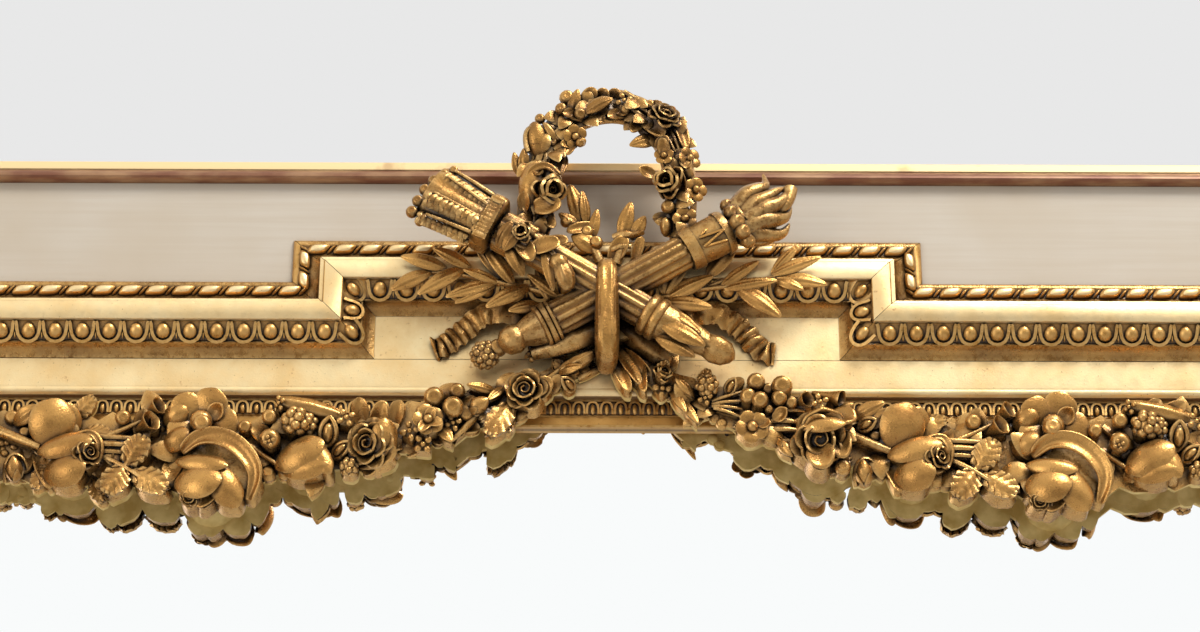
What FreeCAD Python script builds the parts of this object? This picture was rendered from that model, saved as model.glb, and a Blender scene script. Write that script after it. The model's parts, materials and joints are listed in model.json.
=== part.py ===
import FreeCAD, Part
import os
from FreeCAD import Vector

# Trumeau mirror. Row frame: +X right, +Z up, the front faces -Y and the wall plane is y = 0.
# The origin is the centre of the four wall screws, which is the centre of the frame's back face.
# Inside this file a place is (x, p, u): p is the height above the painted face,
# and u is the distance in from the outer edge of the frame.

# Frame
frame_w = 1600.0
frame_h = 2140.0
board_t = 34.0              # thickness of the stiles and rails

# Bands of the front, from the outer edge inwards
bead_flat_w = 7.0
bead_round_w = 10.0
field_w = 84.4              # painted field
fillet_w = 5.5
rope_w = 8.5
cove_w = 12.2
band_w = 14.5
egg_w = 14.6
cavetto_w = 9.2
fascia_w = 22.7
nose_w = 5.8
quirk_w = 2.2
tongue_w = 10.4
strip_w = 8.8

# Heights of the bands above the painted face, negative where they are sunk
bead_flat_p = 4.0
fillet_p = 5.0
band_p = 22.0
band_lip = 2.0              # straight edge of the flat band over the cove
egg_top_p = 19.0
egg_foot_p = 12.0
cavetto_p = 3.5
fascia_t = 3.0
quirk_p = -12.0
tongue_p = -5.0
strip_p = -8.0
glass_p = -14.0             # front of the glass

# How far the curved bands swell out from the straight line between their edges, negative if hollow
bead_swell = 6.7
fillet_swell = 1.6
rope_swell = 4.0
cove_swell = -3.4
egg_swell = 2.6
cavetto_swell = -1.8
nose_swell = 1.4
tongue_swell = 2.6

# The step of the gilt moulding round the crest
crossette_half = 238.2      # half width over the outer edge of the step
crossette_rise = 35.0

# Back of the frame
glass_t = 5.0
glass_gap = 2.5             # round the glass
sight_leg_w = 4.0           # leg of the sight moulding that is glued to the boards
block_t = 5.0
block_len = 45.0
block_w = 14.0
blocks_per_side = 4
backboard_t = 8.0
backboard_lap = 12.0        # width of the back rebate
backboard_count = 6
backboard_gap = 1.0
tenon_len = 60.0
tenon_t = 10.0
tenon_inset = 25.0          # from the tenon's edges to the rail's edges
tenon_depth = 12.0          # from the back of the frame to the tenon
joint_gap = 0.2
peg_r = 4.5
peg_len = 28.0
peg_in = 27.0               # from the rail's shoulder
peg_inset = 58.0            # from the rail's edges
nail_inset = 59.0           # from the edges of each backboard
nail_head_r = 3.0
nail_head_t = 1.0
nail_r = 1.0
nail_len = 20.0

# Mirror plates that carry the frame on the wall
plate_t = 2.0
plate_w = 40.0
plate_body = 48.0           # let into the stile
plate_lug = 22.0            # stands out past the stile
plate_z = 700.0
wall_hole_r = 2.5
wall_hole_out = 12.0        # from the stile's outer edge to the wall screw
screw_head_r = 4.0
screw_r = 1.9
screw_len = 20.0
screw_spread = 12.0
screw_places = ((12.0, -1), (12.0, 1), (36.0, 0))      # from the stile's outer edge, row

# Crest. Its places are (x, d): d is the distance below the outer edge of the stepped moulding.
leaf_t = 4.0
stem_w = 4.0
wreath_r = 13.0
wreath_p = 37.0
wreath_flat = 0.95          # depth of the wreath's ring against its width
flower_sink = 0.2           # how far a flower's back lies behind the ring's middle, against its radius
petal_rings = ((-0.1, 0.7), (0.25, 1.0), (0.5, 0.95), (0.42, 0.68), (0.75, 0.6), (0.68, 0.36),
               (0.88, 0.22), (0.8, 0.0))               # height and radius against the flower's radius
quiver_ends = ((-131.0, -20.0, 52.0), (89.0, 105.0, 32.0))        # x, d, p
torch_ends = ((118.0, -11.0, 45.0), (-89.0, 99.0, 22.0))
quiver_shape = ((0.0, 22.0), (3.0, 23.5), (46.0, 18.0), (50.0, 19.5), (62.0, 19.5), (64.0, 16.5),
                (180.0, 16.0), (184.0, 18.5), (200.0, 18.5), (202.0, 16.0), (228.0, 10.0),
                (232.0, 11.5), (246.0, 9.0), (252.0, 4.0))         # along the axis, radius
torch_shape = ((0.0, 5.0), (10.0, 15.0), (24.0, 18.0), (30.0, 13.0), (34.0, 18.0), (48.0, 18.0),
               (52.0, 14.0), (56.0, 18.5), (70.0, 16.5), (170.0, 15.5), (172.0, 17.5),
               (184.0, 17.5), (186.0, 15.0), (202.0, 11.0), (208.0, 12.5), (222.0, 11.0),
               (228.0, 7.0), (234.0, 3.0))
tie_half_w = 9.5
tie_top = 42.0
tie_foot = 108.0
tie_p = 62.0
tie_round = 14.0            # length of the tie's rounded top and foot
tie_drop = 8.0              # how far the rounded top falls back
tie_fall = 16.0             # how much lower the tie is at its foot
tie_foot_t = 12.0
crest_block_half = 34.0
crest_block_h = 26.0
crest_block_p = 20.0
wreath_arc = ((-58.0, 17.0), (-62.0, -10.0), (-58.0, -42.0), (-44.0, -74.0), (-20.0, -96.0),
              (6.0, -102.0), (32.0, -95.0), (54.0, -74.0), (66.0, -42.0), (67.0, -10.0),
              (52.0, 15.0))
wreath_flowers = ((-50.0, -28.0, 15.0), (63.0, -32.0, 15.0), (42.0, -84.0, 11.0), (-26.0, -72.0, 9.0),
                  (-56.0, -66.0, 9.0), (-8.0, -103.0, 9.0), (60.0, 2.0, 10.0), (-46.0, 8.0, 11.0))
laurel_left_leaves = (     # tip, base, width
    ((-153, 26), (-119, 35), 10), ((-129, 19), (-101, 35), 9), ((-159, 52), (-131, 38), 8),
    ((-139, 55), (-105, 36), 10), ((-106, 37), (-80, 47), 8), ((-118, 58), (-83, 48), 8),
    ((-111, 63), (-84, 49), 8), ((-88, 66), (-56, 51), 10), ((-91, 17), (-70, 48), 10),
    ((-98, 17), (-84, 42), 8))
laurel_left_stem = ((-133, 36), (-105, 36), (-83, 47), (-56, 51), (-36, 60))
laurel_right_leaves = (
    ((38, 24), (43, 60), 10), ((61, 22), (43, 60), 10), ((78, 43), (43, 61), 10),
    ((76, 67), (42, 62), 10), ((96, 17), (73, 45), 11), ((112, 31), (86, 51), 8),
    ((125, 46), (87, 53), 8), ((127, 75), (97, 52), 10), ((143, 18), (122, 42), 8),
    ((158, 28), (122, 42), 10), ((163, 49), (124, 44), 9), ((145, 53), (122, 45), 8))
laurel_right_stem = ((36, 62), (64, 52), (88, 52), (124, 42))
ribbon_left_path = ((-58, 78), (-66, 70), (-78, 62), (-92, 62), (-104, 70), (-114, 82), (-127, 93))
ribbon_right_path = ((60, 84), (69, 72), (78, 62), (92, 62), (104, 72), (114, 82), (123, 96))
ribbon_w = 15.0
ribbon_t = 18.0
sprig_left_leaves = (((-22, -33), (-14, 8), 15), ((-32, -2), (-12, 16), 12), ((-9, -6), (-9, 16), 11))
sprig_right_leaves = (((16, -18), (11, 14), 14), ((28, -4), (12, 22), 12))
sprig_stem_d = 34.0
sprig_lean = 0.5            # the stem's foot, against the distance of its top from the middle
sprig_p = 24.0
sprig_t = 8.0
stem_sink = 2.0

# Garlands. Their places are (x, g): g is the distance below the sight edge, and r is half the height.
garland_path = ((11.0, -52.0, 7.0), (30.0, -38.0, 11.0), (61.0, -18.0, 17.0), (90.0, -8.0, 18.0),
                (116.0, -2.0, 20.0), (167.0, 16.0, 27.0), (224.0, 22.0, 30.0), (288.0, 32.0, 38.0),
                (340.0, 30.0, 35.0), (391.0, 27.0, 34.0), (443.0, 24.0, 31.0), (500.0, 12.0, 27.0),
                (560.0, -10.0, 21.0), (600.0, -30.0, 14.0), (622.75, -44.0, 9.0))
garland_flat = 0.55         # depth of the garland against half its height
garland_lift = 0.22         # how far its middle stands off its flat back, against half its height
garland_left_roses = ((-63.0, -16.0, 15.0), (-165.0, 18.0, 24.0), (-294.0, 44.0, 36.0),
                      (-415.0, 22.0, 30.0), (-520.0, 4.0, 22.0))
garland_right_roses = ((62.0, -20.0, 13.0), (104.0, 4.0, 16.0), (159.0, 18.0, 26.0),
                       (222.0, 20.0, 33.0), (343.0, 50.0, 38.0), (470.0, 18.0, 32.0), (560.0, -8.0, 22.0))
garland_pin_x = (90.0, 200.0, 330.0, 460.0, 560.0)
pin_r = 1.5
pin_depth = 4.0
pin_reach = 12.0

# Corner rosettes and the side drops under them
rosette_r = 22.0
rosette_lap = 6.6           # the drop starts behind the rosette's edge
drop_len = 330.0
drop_husks = 6
drop_top_r = 13.5
drop_foot_r = 5.0
drop_waist = 0.55           # radius between two husks against the husk's
drop_joint = 13.0           # length of the waist
drop_flat = 0.8
drop_lift = 0.1

# Places worked out from the bands
u_field = bead_flat_w + bead_round_w
u_mould = u_field + field_w
mould_w = fillet_w + rope_w + cove_w + band_w + egg_w + cavetto_w
u_fascia = u_mould + mould_w
u_board = u_fascia + fascia_w + nose_w
u_tongue = u_board + quirk_w
u_strip = u_tongue + tongue_w
u_sight = u_strip + strip_w
u_glass = u_board + sight_leg_w + glass_gap
u_crest = u_mould - crossette_rise
crossette_in = crossette_half - mould_w
backboard_p = backboard_t - board_t
glass_back_p = glass_p - glass_t
u_rosette = u_fascia + fascia_w / 2
corner_x = frame_w / 2 - u_rosette
garland_stretch = corner_x / garland_path[-1][0]      # the garlands reach from the middle to the corners

parts = {}


def at(x, p, u):
    return Vector(x, -(board_t + p), frame_h / 2 - u)


def block(x0, x1, p0, p1, u0, u1):
    low = at(min(x0, x1), max(p0, p1), max(u0, u1))
    return Part.makeBox(abs(x1 - x0), abs(p1 - p0), abs(u1 - u0), low)


def solid_along(start, end, shape):
    """A turned solid along the line from start to end, from (distance, radius) pairs."""
    line = [Vector(0, 0, shape[0][0])] + [Vector(r, 0, t) for t, r in shape] + [Vector(0, 0, shape[-1][0])]
    face = Part.Face(Part.makePolygon(line + line[:1]))
    turned = face.revolve(Vector(0, 0, 0), Vector(0, 0, 1), 360)
    turn = FreeCAD.Rotation(Vector(0, 0, 1), end - start)
    turned.Placement = FreeCAD.Placement(start, turn)
    return turned


def round_bar(x, u, p0, p1, r):
    foot = at(x, p0, u)
    return Part.makeCylinder(r, p1 - p0, foot, Vector(0, -1, 0))


def outline(points, place):
    """A closed face. A point of four numbers ends an arc that passes through its last two."""
    edges = []
    last = points[0]
    for point in list(points[1:]) + [points[0][:2]]:
        a, b = place(*last[:2]), place(*point[:2])
        if len(point) == 4:
            edges.append(Part.Arc(a, place(*point[2:]), b).toShape())
        else:
            edges.append(Part.makeLine(a, b))
        last = point
    return Part.Face(Part.Wire(edges))


def swelled(w0, p0, w1, p1, swell):
    """The end and the middle of a curved face from (w0, p0) to (w1, p1)."""
    length = ((w1 - w0) ** 2 + (p1 - p0) ** 2) ** 0.5
    middle_w = (w0 + w1) / 2 + swell * (p0 - p1) / length
    middle_p = (p0 + p1) / 2 + swell * (w1 - w0) / length
    return w1, p1, middle_w, middle_p


def mitred_ring(corners, profile, width):
    """One solid for each side of a closed ring of mouldings, mitred at every corner.
    The corners run clockwise as seen from the front; the profile is (distance inwards, height)."""
    count = len(corners)
    along = []
    for i in range(count):
        step = corners[(i + 1) % count] - corners[i]
        along.append(step.normalize())
    inward = [Vector(t.z, 0, -t.x) for t in along]
    heights = [p for point in profile for p in point[1::2]]
    solids = []
    for i in range(count):
        a, b = corners[i], corners[(i + 1) % count]
        t, n = along[i], inward[i]
        start = a - t * width
        length = (b - a).Length + 2 * width
        face = outline(profile, lambda w, p: start + n * w + Vector(0, -(board_t + p), 0))
        bar = face.extrude(t * length)
        mitre_a = n + inward[i - 1]
        mitre_b = n + inward[(i + 1) % count]
        plan = [a, b, b + mitre_b * width, a + mitre_a * width]
        base = Vector(0, -(board_t + min(heights) - 1), 0)
        prism = Part.Face(Part.makePolygon([v + base for v in plan + plan[:1]]))
        prism = prism.extrude(Vector(0, -(max(heights) - min(heights) + 2), 0))
        solids.append(bar.common(prism).Solids[0])
    return solids


def ring_corners(u):
    x, z = frame_w / 2 - u, frame_h / 2 - u
    return [Vector(-x, 0, -z), Vector(-x, 0, z), Vector(x, 0, z), Vector(x, 0, -z)]


def leaf(tip, base, width, p0, thick, datum):
    """A flat pointed leaf between two points, of two arcs."""
    a, b = at(tip[0], p0, datum + tip[1]), at(base[0], p0, datum + base[1])
    middle = (a + b) * 0.5
    along = (b - a).normalize()
    side = Vector(along.z, 0, -along.x) * (width / 2)
    edges = [Part.Arc(a, middle + side, b).toShape(), Part.Arc(b, middle - side, a).toShape()]
    return Part.Face(Part.Wire(edges)).extrude(Vector(0, -thick, 0))


def stem(points, width, p0, thick, datum):
    """Straight lengths of a flat stem with round joints."""
    pieces = []
    for (x0, d0), (x1, d1) in zip(points[:-1], points[1:]):
        a, b = at(x0, p0, datum + d0), at(x1, p0, datum + d1)
        t = (b - a).normalize()
        side = Vector(t.z, 0, -t.x) * (width / 2)
        plan = Part.makePolygon([a + side, b + side, b - side, a - side, a + side])
        pieces.append(Part.Face(plan).extrude(Vector(0, -thick, 0)))
        pieces.append(round_bar(x1, datum + d1, p0, p0 + thick, width / 2))
    return pieces


def bunch(points, flat, back_p, lift):
    """A tapered bunch of flowers along (x, u, half height) points, flat at the back."""
    centres = [at(x, back_p + lift * r, u) for x, u, r in points]
    wires = []
    for i, (x, u, r) in enumerate(points):
        before, after = centres[max(i - 1, 0)], centres[min(i + 1, len(centres) - 1)]
        t = after - before
        t.y = 0
        t.normalize()
        side = Vector(-t.z, 0, t.x)
        oval = Part.Ellipse(centres[i] + side * r, centres[i] + Vector(0, -r * flat, 0), centres[i])
        wires.append(Part.Wire(oval.toShape()))
    return Part.makeLoft(wires, True, True)


def rose(x, u, r, back_p):
    """A round flower in three rings of petals, facing the front."""
    rings = [(height * r, radius * r) for height, radius in petal_rings]
    return solid_along(at(x, back_p, u), at(x, back_p + 1, u), rings)


def join(pieces):
    whole = pieces[0].multiFuse(pieces[1:]) if len(pieces) > 1 else pieces[0]
    return whole.removeSplitter()


def fitted(shape, neighbours):
    """The shape scribed to its neighbours, so that it sits on them; offcuts are dropped."""
    near = [n for n in neighbours if n.BoundBox.intersect(shape.BoundBox)]
    if near:
        shape = shape.cut(near)
    return max(shape.Solids, key=lambda s: s.Volume)


def in_front(shape, p):
    """The part of a shape that lies in front of the height p."""
    box = shape.BoundBox
    top_u = frame_h / 2 - box.ZMax - 1
    foot_u = frame_h / 2 - box.ZMin + 1
    return shape.common(block(box.XMin - 1, box.XMax + 1, p, -board_t - box.YMin + 1, top_u, foot_u))


def face_frame():
    """Painted stiles and rails, with pegged tenons and a rebate for the backboards."""
    half_w, half_h = frame_w / 2, frame_h / 2
    rebate = block(-half_w + u_board - backboard_lap, half_w - u_board + backboard_lap,
                   -board_t, backboard_p, u_board - backboard_lap, frame_h - u_board + backboard_lap)
    pegs = []
    for name, side in (("left", -1), ("right", 1)):
        stile = block(side * half_w, side * (half_w - u_board), -board_t, 0, 0, frame_h)
        parts["stile_" + name] = stile.cut(rebate)
    for name, u0 in (("top", 0.0), ("bottom", frame_h - u_board)):
        shoulder = half_w - u_board
        rail = block(-shoulder, shoulder, -board_t, 0, u0, u0 + u_board)
        low_p = tenon_depth - board_t
        for side in (-1, 1):
            end = side * (shoulder + tenon_len)
            rail = rail.fuse(block(side * shoulder, end, low_p, low_p + tenon_t,
                                   u0 + tenon_inset, u0 + u_board - tenon_inset))
            mortise = block(side * shoulder, end + side * joint_gap, low_p - joint_gap,
                            low_p + tenon_t + joint_gap, u0 + tenon_inset - joint_gap,
                            u0 + u_board - tenon_inset + joint_gap)
            stile = "stile_left" if side < 0 else "stile_right"
            parts[stile] = parts[stile].cut(mortise)
            for u in (u0 + peg_inset, u0 + u_board - peg_inset):
                pegs.append(round_bar(side * (shoulder + peg_in), u, -board_t, peg_len - board_t, peg_r))
        parts["rail_" + name] = rail.cut(rebate)
    for name in ("stile_left", "stile_right", "rail_top", "rail_bottom"):
        parts[name] = parts[name].cut(pegs)
    parts["frame_pegs"] = Part.makeCompound(pegs)


def front_mouldings():
    """The outer bead, the stepped gilt moulding, the fascia and the sight moulding."""
    sides = ("left", "top", "right", "bottom")
    bead = [(0, 0), (0, bead_flat_p), (bead_flat_w, bead_flat_p),
            swelled(bead_flat_w, bead_flat_p, u_field, 0, bead_swell)]
    for name, solid in zip(sides, mitred_ring(ring_corners(0), bead, u_field)):
        parts["bead_" + name] = solid

    w1 = fillet_w
    w2 = w1 + rope_w
    w3 = w2 + cove_w
    w4 = w3 + band_w
    w5 = w4 + egg_w
    w6 = w5 + cavetto_w
    gilt = [(0, 0), swelled(0, 0, w1, fillet_p, fillet_swell),
            swelled(w1, fillet_p, w2, fillet_p, rope_swell),
            swelled(w2, fillet_p, w3, band_p - band_lip, cove_swell), (w3, band_p), (w4, band_p),
            (w4, egg_top_p), swelled(w4, egg_top_p, w5, egg_foot_p, egg_swell),
            swelled(w5, egg_foot_p, w6, cavetto_p, cavetto_swell), (w6, 0)]
    x, z = frame_w / 2 - u_mould, frame_h / 2 - u_mould
    step, rise = crossette_half, crossette_rise
    corners = [Vector(-x, 0, -z), Vector(-x, 0, z), Vector(-step, 0, z), Vector(-step, 0, z + rise),
               Vector(step, 0, z + rise), Vector(step, 0, z), Vector(x, 0, z), Vector(x, 0, -z)]
    names = ("left", "top_left", "riser_left", "top_centre", "riser_right", "top_right", "right", "bottom")
    for name, solid in zip(names, mitred_ring(corners, gilt, mould_w)):
        parts["moulding_" + name] = solid

    flat = [(0, 0), (0, fascia_t), (fascia_w, fascia_t),
            swelled(fascia_w, fascia_t, fascia_w + nose_w, 0, nose_swell)]
    for name, solid in zip(sides, mitred_ring(ring_corners(u_fascia), flat, fascia_w + nose_w)):
        parts["fascia_" + name] = solid
    parts["crest_panel"] = block(-crossette_in, crossette_in, 0, fascia_t,
                                 u_fascia - crossette_rise, u_fascia)

    width = u_sight - u_board
    q = quirk_w
    sight = [(0, quirk_p), (q, quirk_p), (q, tongue_p),
             swelled(q, tongue_p, q + tongue_w, strip_p, tongue_swell), (width, strip_p),
             (width, glass_p), (sight_leg_w, glass_p), (sight_leg_w, backboard_p), (0, backboard_p)]
    for name, solid in zip(sides, mitred_ring(ring_corners(u_board), sight, width)):
        parts["sight_moulding_" + name] = solid


def glass_and_back():
    """The mirror glass, its blocks, and the nailed backboards."""
    half_w = frame_w / 2
    parts["mirror_glass"] = block(-half_w + u_glass, half_w - u_glass, glass_back_p, glass_p,
                                  u_glass, frame_h - u_glass)
    blocks = []
    edge = u_board + sight_leg_w
    for i in range(blocks_per_side):
        share = (i + 0.5) / blocks_per_side
        u = edge + (frame_h - 2 * edge) * share
        x = (half_w - edge) * (2 * share - 1)
        for side in (-1, 1):
            blocks.append(block(side * (half_w - edge), side * (half_w - edge - block_w),
                                glass_back_p - block_t, glass_back_p, u - block_len / 2, u + block_len / 2))
            foot = edge if side < 0 else frame_h - edge
            blocks.append(block(x - block_len / 2, x + block_len / 2, glass_back_p - block_t,
                                glass_back_p, foot, foot - side * block_w))
    parts["glass_blocks"] = Part.makeCompound(blocks)

    out = u_board - backboard_lap
    tall = (frame_h - 2 * out + backboard_gap) / backboard_count
    nails = []
    nail_x = half_w - u_board + backboard_lap / 2
    for i in range(backboard_count):
        u0 = out + i * tall
        u1 = u0 + tall - backboard_gap
        parts["backboard_%d" % (i + 1)] = block(-half_w + out, half_w - out, -board_t, backboard_p, u0, u1)
        for side in (-1, 1):
            for u in (u0 + nail_inset, u1 - nail_inset):
                shank = round_bar(side * nail_x, u, -board_t, nail_len - board_t, nail_r)
                head = round_bar(side * nail_x, u, -board_t, nail_head_t - board_t, nail_head_r)
                nails.append(shank.fuse(head).removeSplitter())
    for name in list(parts):
        if name.startswith(("backboard_", "stile_", "rail_")):
            parts[name] = fitted(parts[name], nails)
    parts["backboard_nails"] = Part.makeCompound(nails)


def wall_plates():
    """Four steel plates let into the back of the stiles, each with three screws."""
    half_w = frame_w / 2
    screws = []
    for row, z in (("top", plate_z), ("bottom", -plate_z)):
        for name, side in (("left", -1), ("right", 1)):
            u = frame_h / 2 - z
            plate = block(side * (half_w - plate_body), side * (half_w + plate_lug), -board_t,
                          plate_t - board_t, u - plate_w / 2, u + plate_w / 2)
            plate = plate.cut(round_bar(side * (half_w + wall_hole_out), u, -board_t - 1,
                                        plate_t + 1 - board_t, wall_hole_r))
            own = []
            for inset, seat_row in screw_places:
                x, seat_u = side * (half_w - inset), u + seat_row * screw_spread
                foot = at(x, -board_t, seat_u)
                head = Part.makeCone(screw_head_r, screw_r, plate_t, foot, Vector(0, -1, 0))
                shank = round_bar(x, seat_u, plate_t - board_t, screw_len - board_t, screw_r)
                own.append(head.fuse(shank).removeSplitter())
            stile = "stile_" + name
            parts[stile] = parts[stile].cut([plate] + own)
            parts["wall_plate_%s_%s" % (row, name)] = plate.cut(own)
            screws += own
    parts["plate_screws"] = Part.makeCompound(screws)


def crest():
    """Quiver and torch crossed under a tie, with the wreath, sprigs, laurel and ribbon tails."""
    ground = [parts[n] for n in ("moulding_riser_left", "moulding_top_centre", "moulding_riser_right",
                                 "crest_panel", "fascia_top", "sight_moulding_top", "rail_top",
                                 "bead_top")]
    panel_u = u_fascia - crossette_rise
    parts["crest_block"] = block(-crest_block_half, crest_block_half, fascia_t, crest_block_p,
                                 panel_u, panel_u + crest_block_h)
    ground.append(parts["crest_block"])

    def add(name, shape):
        parts[name] = fitted(shape, ground)
        ground.append(parts[name])

    for name, ends, shape in (("quiver", quiver_ends, quiver_shape), ("torch", torch_ends, torch_shape)):
        (x0, d0, p0), (x1, d1, p1) = ends
        add(name, solid_along(at(x0, p0, u_crest + d0), at(x1, p1, u_crest + d1), shape))
    tie = [(tie_top, band_p), (tie_top, tie_p - tie_drop), (tie_top + tie_round, tie_p),
           (tie_foot - tie_round, tie_p - tie_fall), (tie_foot, fascia_t + tie_foot_t), (tie_foot, fascia_t)]
    side = outline(tie, lambda d, p: at(-tie_half_w, p, u_crest + d))
    add("tie_band", side.extrude(Vector(2 * tie_half_w, 0, 0)))

    ring = bunch([(x, u_crest + d, wreath_r) for x, d in wreath_arc], wreath_flat, wreath_p, 0.0)
    flowers = [rose(x, u_crest + d, r, wreath_p - r * flower_sink) for x, d, r in wreath_flowers]
    add("wreath", in_front(join([ring] + flowers), band_p))

    for name, leaves in (("sprig_left", sprig_left_leaves), ("sprig_right", sprig_right_leaves)):
        foot = leaves[0][1]
        pieces = [leaf(tip, base, w, sprig_p, sprig_t, u_crest) for tip, base, w in leaves]
        pieces += stem((foot, (foot[0] * sprig_lean, sprig_stem_d)), sprig_t, sprig_p - stem_sink,
                       sprig_t + stem_sink, u_crest)
        add(name, join(pieces))

    for name, leaves, spine in (("laurel_left", laurel_left_leaves, laurel_left_stem),
                                ("laurel_right", laurel_right_leaves, laurel_right_stem)):
        pieces = [leaf(tip, base, w, band_p, leaf_t, u_crest) for tip, base, w in leaves]
        add(name, join(pieces + stem(spine, stem_w, band_p, leaf_t, u_crest)))

    for name, path in (("ribbon_tail_left", ribbon_left_path), ("ribbon_tail_right", ribbon_right_path)):
        add(name, join(stem(path, ribbon_w, fascia_t, ribbon_t, u_crest)))
    return ground


def garlands(ground):
    """Rosettes at the upper corners, the two swags and the side drops, all flat at the back."""
    pins = []
    for name, side in (("left", -1), ("right", 1)):
        low = u_rosette + rosette_r - rosette_lap
        near = ground + [parts["moulding_" + name], parts["fascia_" + name], parts["moulding_top_" + name],
                         parts["sight_moulding_" + name]]
        rosette = in_front(rose(side * corner_x, u_rosette, rosette_r, fascia_t), fascia_t)
        parts["rosette_" + name] = fitted(rosette, near)
        near.append(parts["rosette_" + name])

        path = [(side * x * garland_stretch, u_sight + g, r) for x, g, r in garland_path]
        pieces = [bunch(path, garland_flat, fascia_t, garland_lift)]
        roses = garland_left_roses if side < 0 else garland_right_roses
        pieces += [rose(x * garland_stretch, u_sight + g, r, fascia_t) for x, g, r in roses]
        swag = fitted(in_front(join(pieces), fascia_t), near)
        own = [round_bar(side * x * garland_stretch, u_strip + strip_w / 2, strip_p - pin_depth,
                         fascia_t + pin_reach, pin_r) for x in garland_pin_x]
        parts["garland_" + name] = swag.cut(own)
        parts["sight_moulding_top"] = parts["sight_moulding_top"].cut(own)
        pins += own
        near.append(parts["garland_" + name])

        husks = []
        for i in range(drop_husks):
            a, b = i / drop_husks, (i + 1) / drop_husks
            r = drop_top_r + (drop_foot_r - drop_top_r) * a
            husks.append((side * corner_x, low + drop_len * a + drop_joint / 2, r))
            husks.append((side * corner_x, low + drop_len * b - drop_joint / 2, r * drop_waist))
        drop = in_front(bunch(husks, drop_flat, fascia_t, drop_lift), fascia_t)
        parts["side_drop_" + name] = fitted(drop, near)
    parts["garland_pins"] = Part.makeCompound(pins)


def main():
    face_frame()
    front_mouldings()
    glass_and_back()
    wall_plates()
    garlands(crest())
    os.makedirs("parts", exist_ok=True)
    for name, shape in parts.items():
        shape.exportStep("parts/%s.step" % name)
        print("%-24s solids %2d  volume %9.1f cm3" % (name, len(shape.Solids), shape.Volume / 1000))
    print(len(parts), "nodes")


main()
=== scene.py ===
import json
import math
import random

import bpy
from mathutils import Matrix, Vector


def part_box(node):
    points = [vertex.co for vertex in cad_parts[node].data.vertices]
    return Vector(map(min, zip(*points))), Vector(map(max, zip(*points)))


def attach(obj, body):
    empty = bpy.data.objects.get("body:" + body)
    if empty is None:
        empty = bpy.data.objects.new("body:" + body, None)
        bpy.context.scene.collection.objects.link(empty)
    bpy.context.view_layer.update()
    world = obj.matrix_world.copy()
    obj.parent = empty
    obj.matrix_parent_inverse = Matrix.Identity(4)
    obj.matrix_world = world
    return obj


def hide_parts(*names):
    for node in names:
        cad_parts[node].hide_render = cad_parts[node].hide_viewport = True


# Trumeau mirror, metres, +Z up, the front faces -Y. Places on the front are written as (x, p, u) in mm:
# p is the height above the painted face, u the distance in from the frame's outer edge.
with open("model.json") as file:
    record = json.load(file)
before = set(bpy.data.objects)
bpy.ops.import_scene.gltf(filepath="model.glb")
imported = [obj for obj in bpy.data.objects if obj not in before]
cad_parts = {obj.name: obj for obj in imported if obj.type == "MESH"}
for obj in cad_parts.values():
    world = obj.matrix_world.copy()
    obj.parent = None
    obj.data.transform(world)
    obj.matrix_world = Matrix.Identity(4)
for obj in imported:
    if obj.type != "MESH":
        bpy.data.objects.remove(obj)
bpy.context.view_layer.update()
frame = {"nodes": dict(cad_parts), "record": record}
nodes = frame["nodes"]
random.seed(8)
mm = 0.001
outward = Vector((0, -1, 0))               # off the wall, towards the viewer

outerLow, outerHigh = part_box("bead_left")[0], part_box("bead_right")[1]
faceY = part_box("stile_left")[0].y          # the painted face
halfWidth = outerHigh.x / mm
halfHeight = outerHigh.z / mm

# widths of the bands on the front, from the outer edge inwards
band = {"beadFlat": 7.0, "beadRound": 10.0, "field": 84.4, "fillet": 5.5, "rope": 8.5, "cove": 12.2,
        "flat": 14.5, "egg": 14.6, "cavetto": 9.2, "fascia": 22.7, "nose": 5.8, "quirk": 2.2,
        "tongue": 10.4, "strip": 8.8}
uMould = band["beadFlat"] + band["beadRound"] + band["field"]
wRope = band["fillet"] + band["rope"]
wCove = wRope + band["cove"]
wFlat = wCove + band["flat"]
wEgg = wFlat + band["egg"]
wMould = wEgg + band["cavetto"]
uFascia = uMould + wMould
uBoard = uFascia + band["fascia"] + band["nose"]
wTongue = band["quirk"] + band["tongue"]
wStrip = wTongue + band["strip"]
uSight = uBoard + wStrip
step = {"half": 238.2, "rise": 35.0}       # the step of the moulding round the crest


def spot(x, p, u):
    return Vector((x * mm, faceY - p * mm, outerHigh.z - u * mm))


def pick(*objects):
    # only these are selected
    if bpy.context.mode != "OBJECT":
        bpy.ops.object.mode_set(mode="OBJECT")
    bpy.ops.object.select_all(action="DESELECT")
    for obj in objects:
        obj.select_set(True)
    if objects:
        bpy.context.view_layer.objects.active = objects[0]
        return objects[0]


def applyModifier(obj, kind, **settings):
    pick(obj)
    modifier = obj.modifiers.new("work", kind)
    for key, value in settings.items():
        setattr(modifier, key, value)
    bpy.ops.object.modifier_apply(modifier=modifier.name)


def drawn(name, points, faces=(), edges=()):
    # a section or outline drawn from its points, left selected
    mesh = bpy.data.meshes.new(name)
    mesh.from_pydata([tuple(p) for p in points], edges, faces)
    obj = bpy.data.objects.new(name, mesh)
    bpy.context.scene.collection.objects.link(obj)
    return pick(obj)


def tidyMesh(obj, merge=0.00001):
    pick(obj)
    bpy.ops.object.mode_set(mode="EDIT")
    bpy.ops.mesh.select_all(action="SELECT")
    bpy.ops.mesh.remove_doubles(threshold=merge)
    bpy.ops.mesh.normals_make_consistent(inside=False)
    bpy.ops.object.mode_set(mode="OBJECT")
    return obj


def joined(name, pieces):
    obj = pick(*pieces)
    if len(pieces) > 1:
        bpy.ops.object.join()
    obj.name = obj.data.name = name
    return obj


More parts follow.
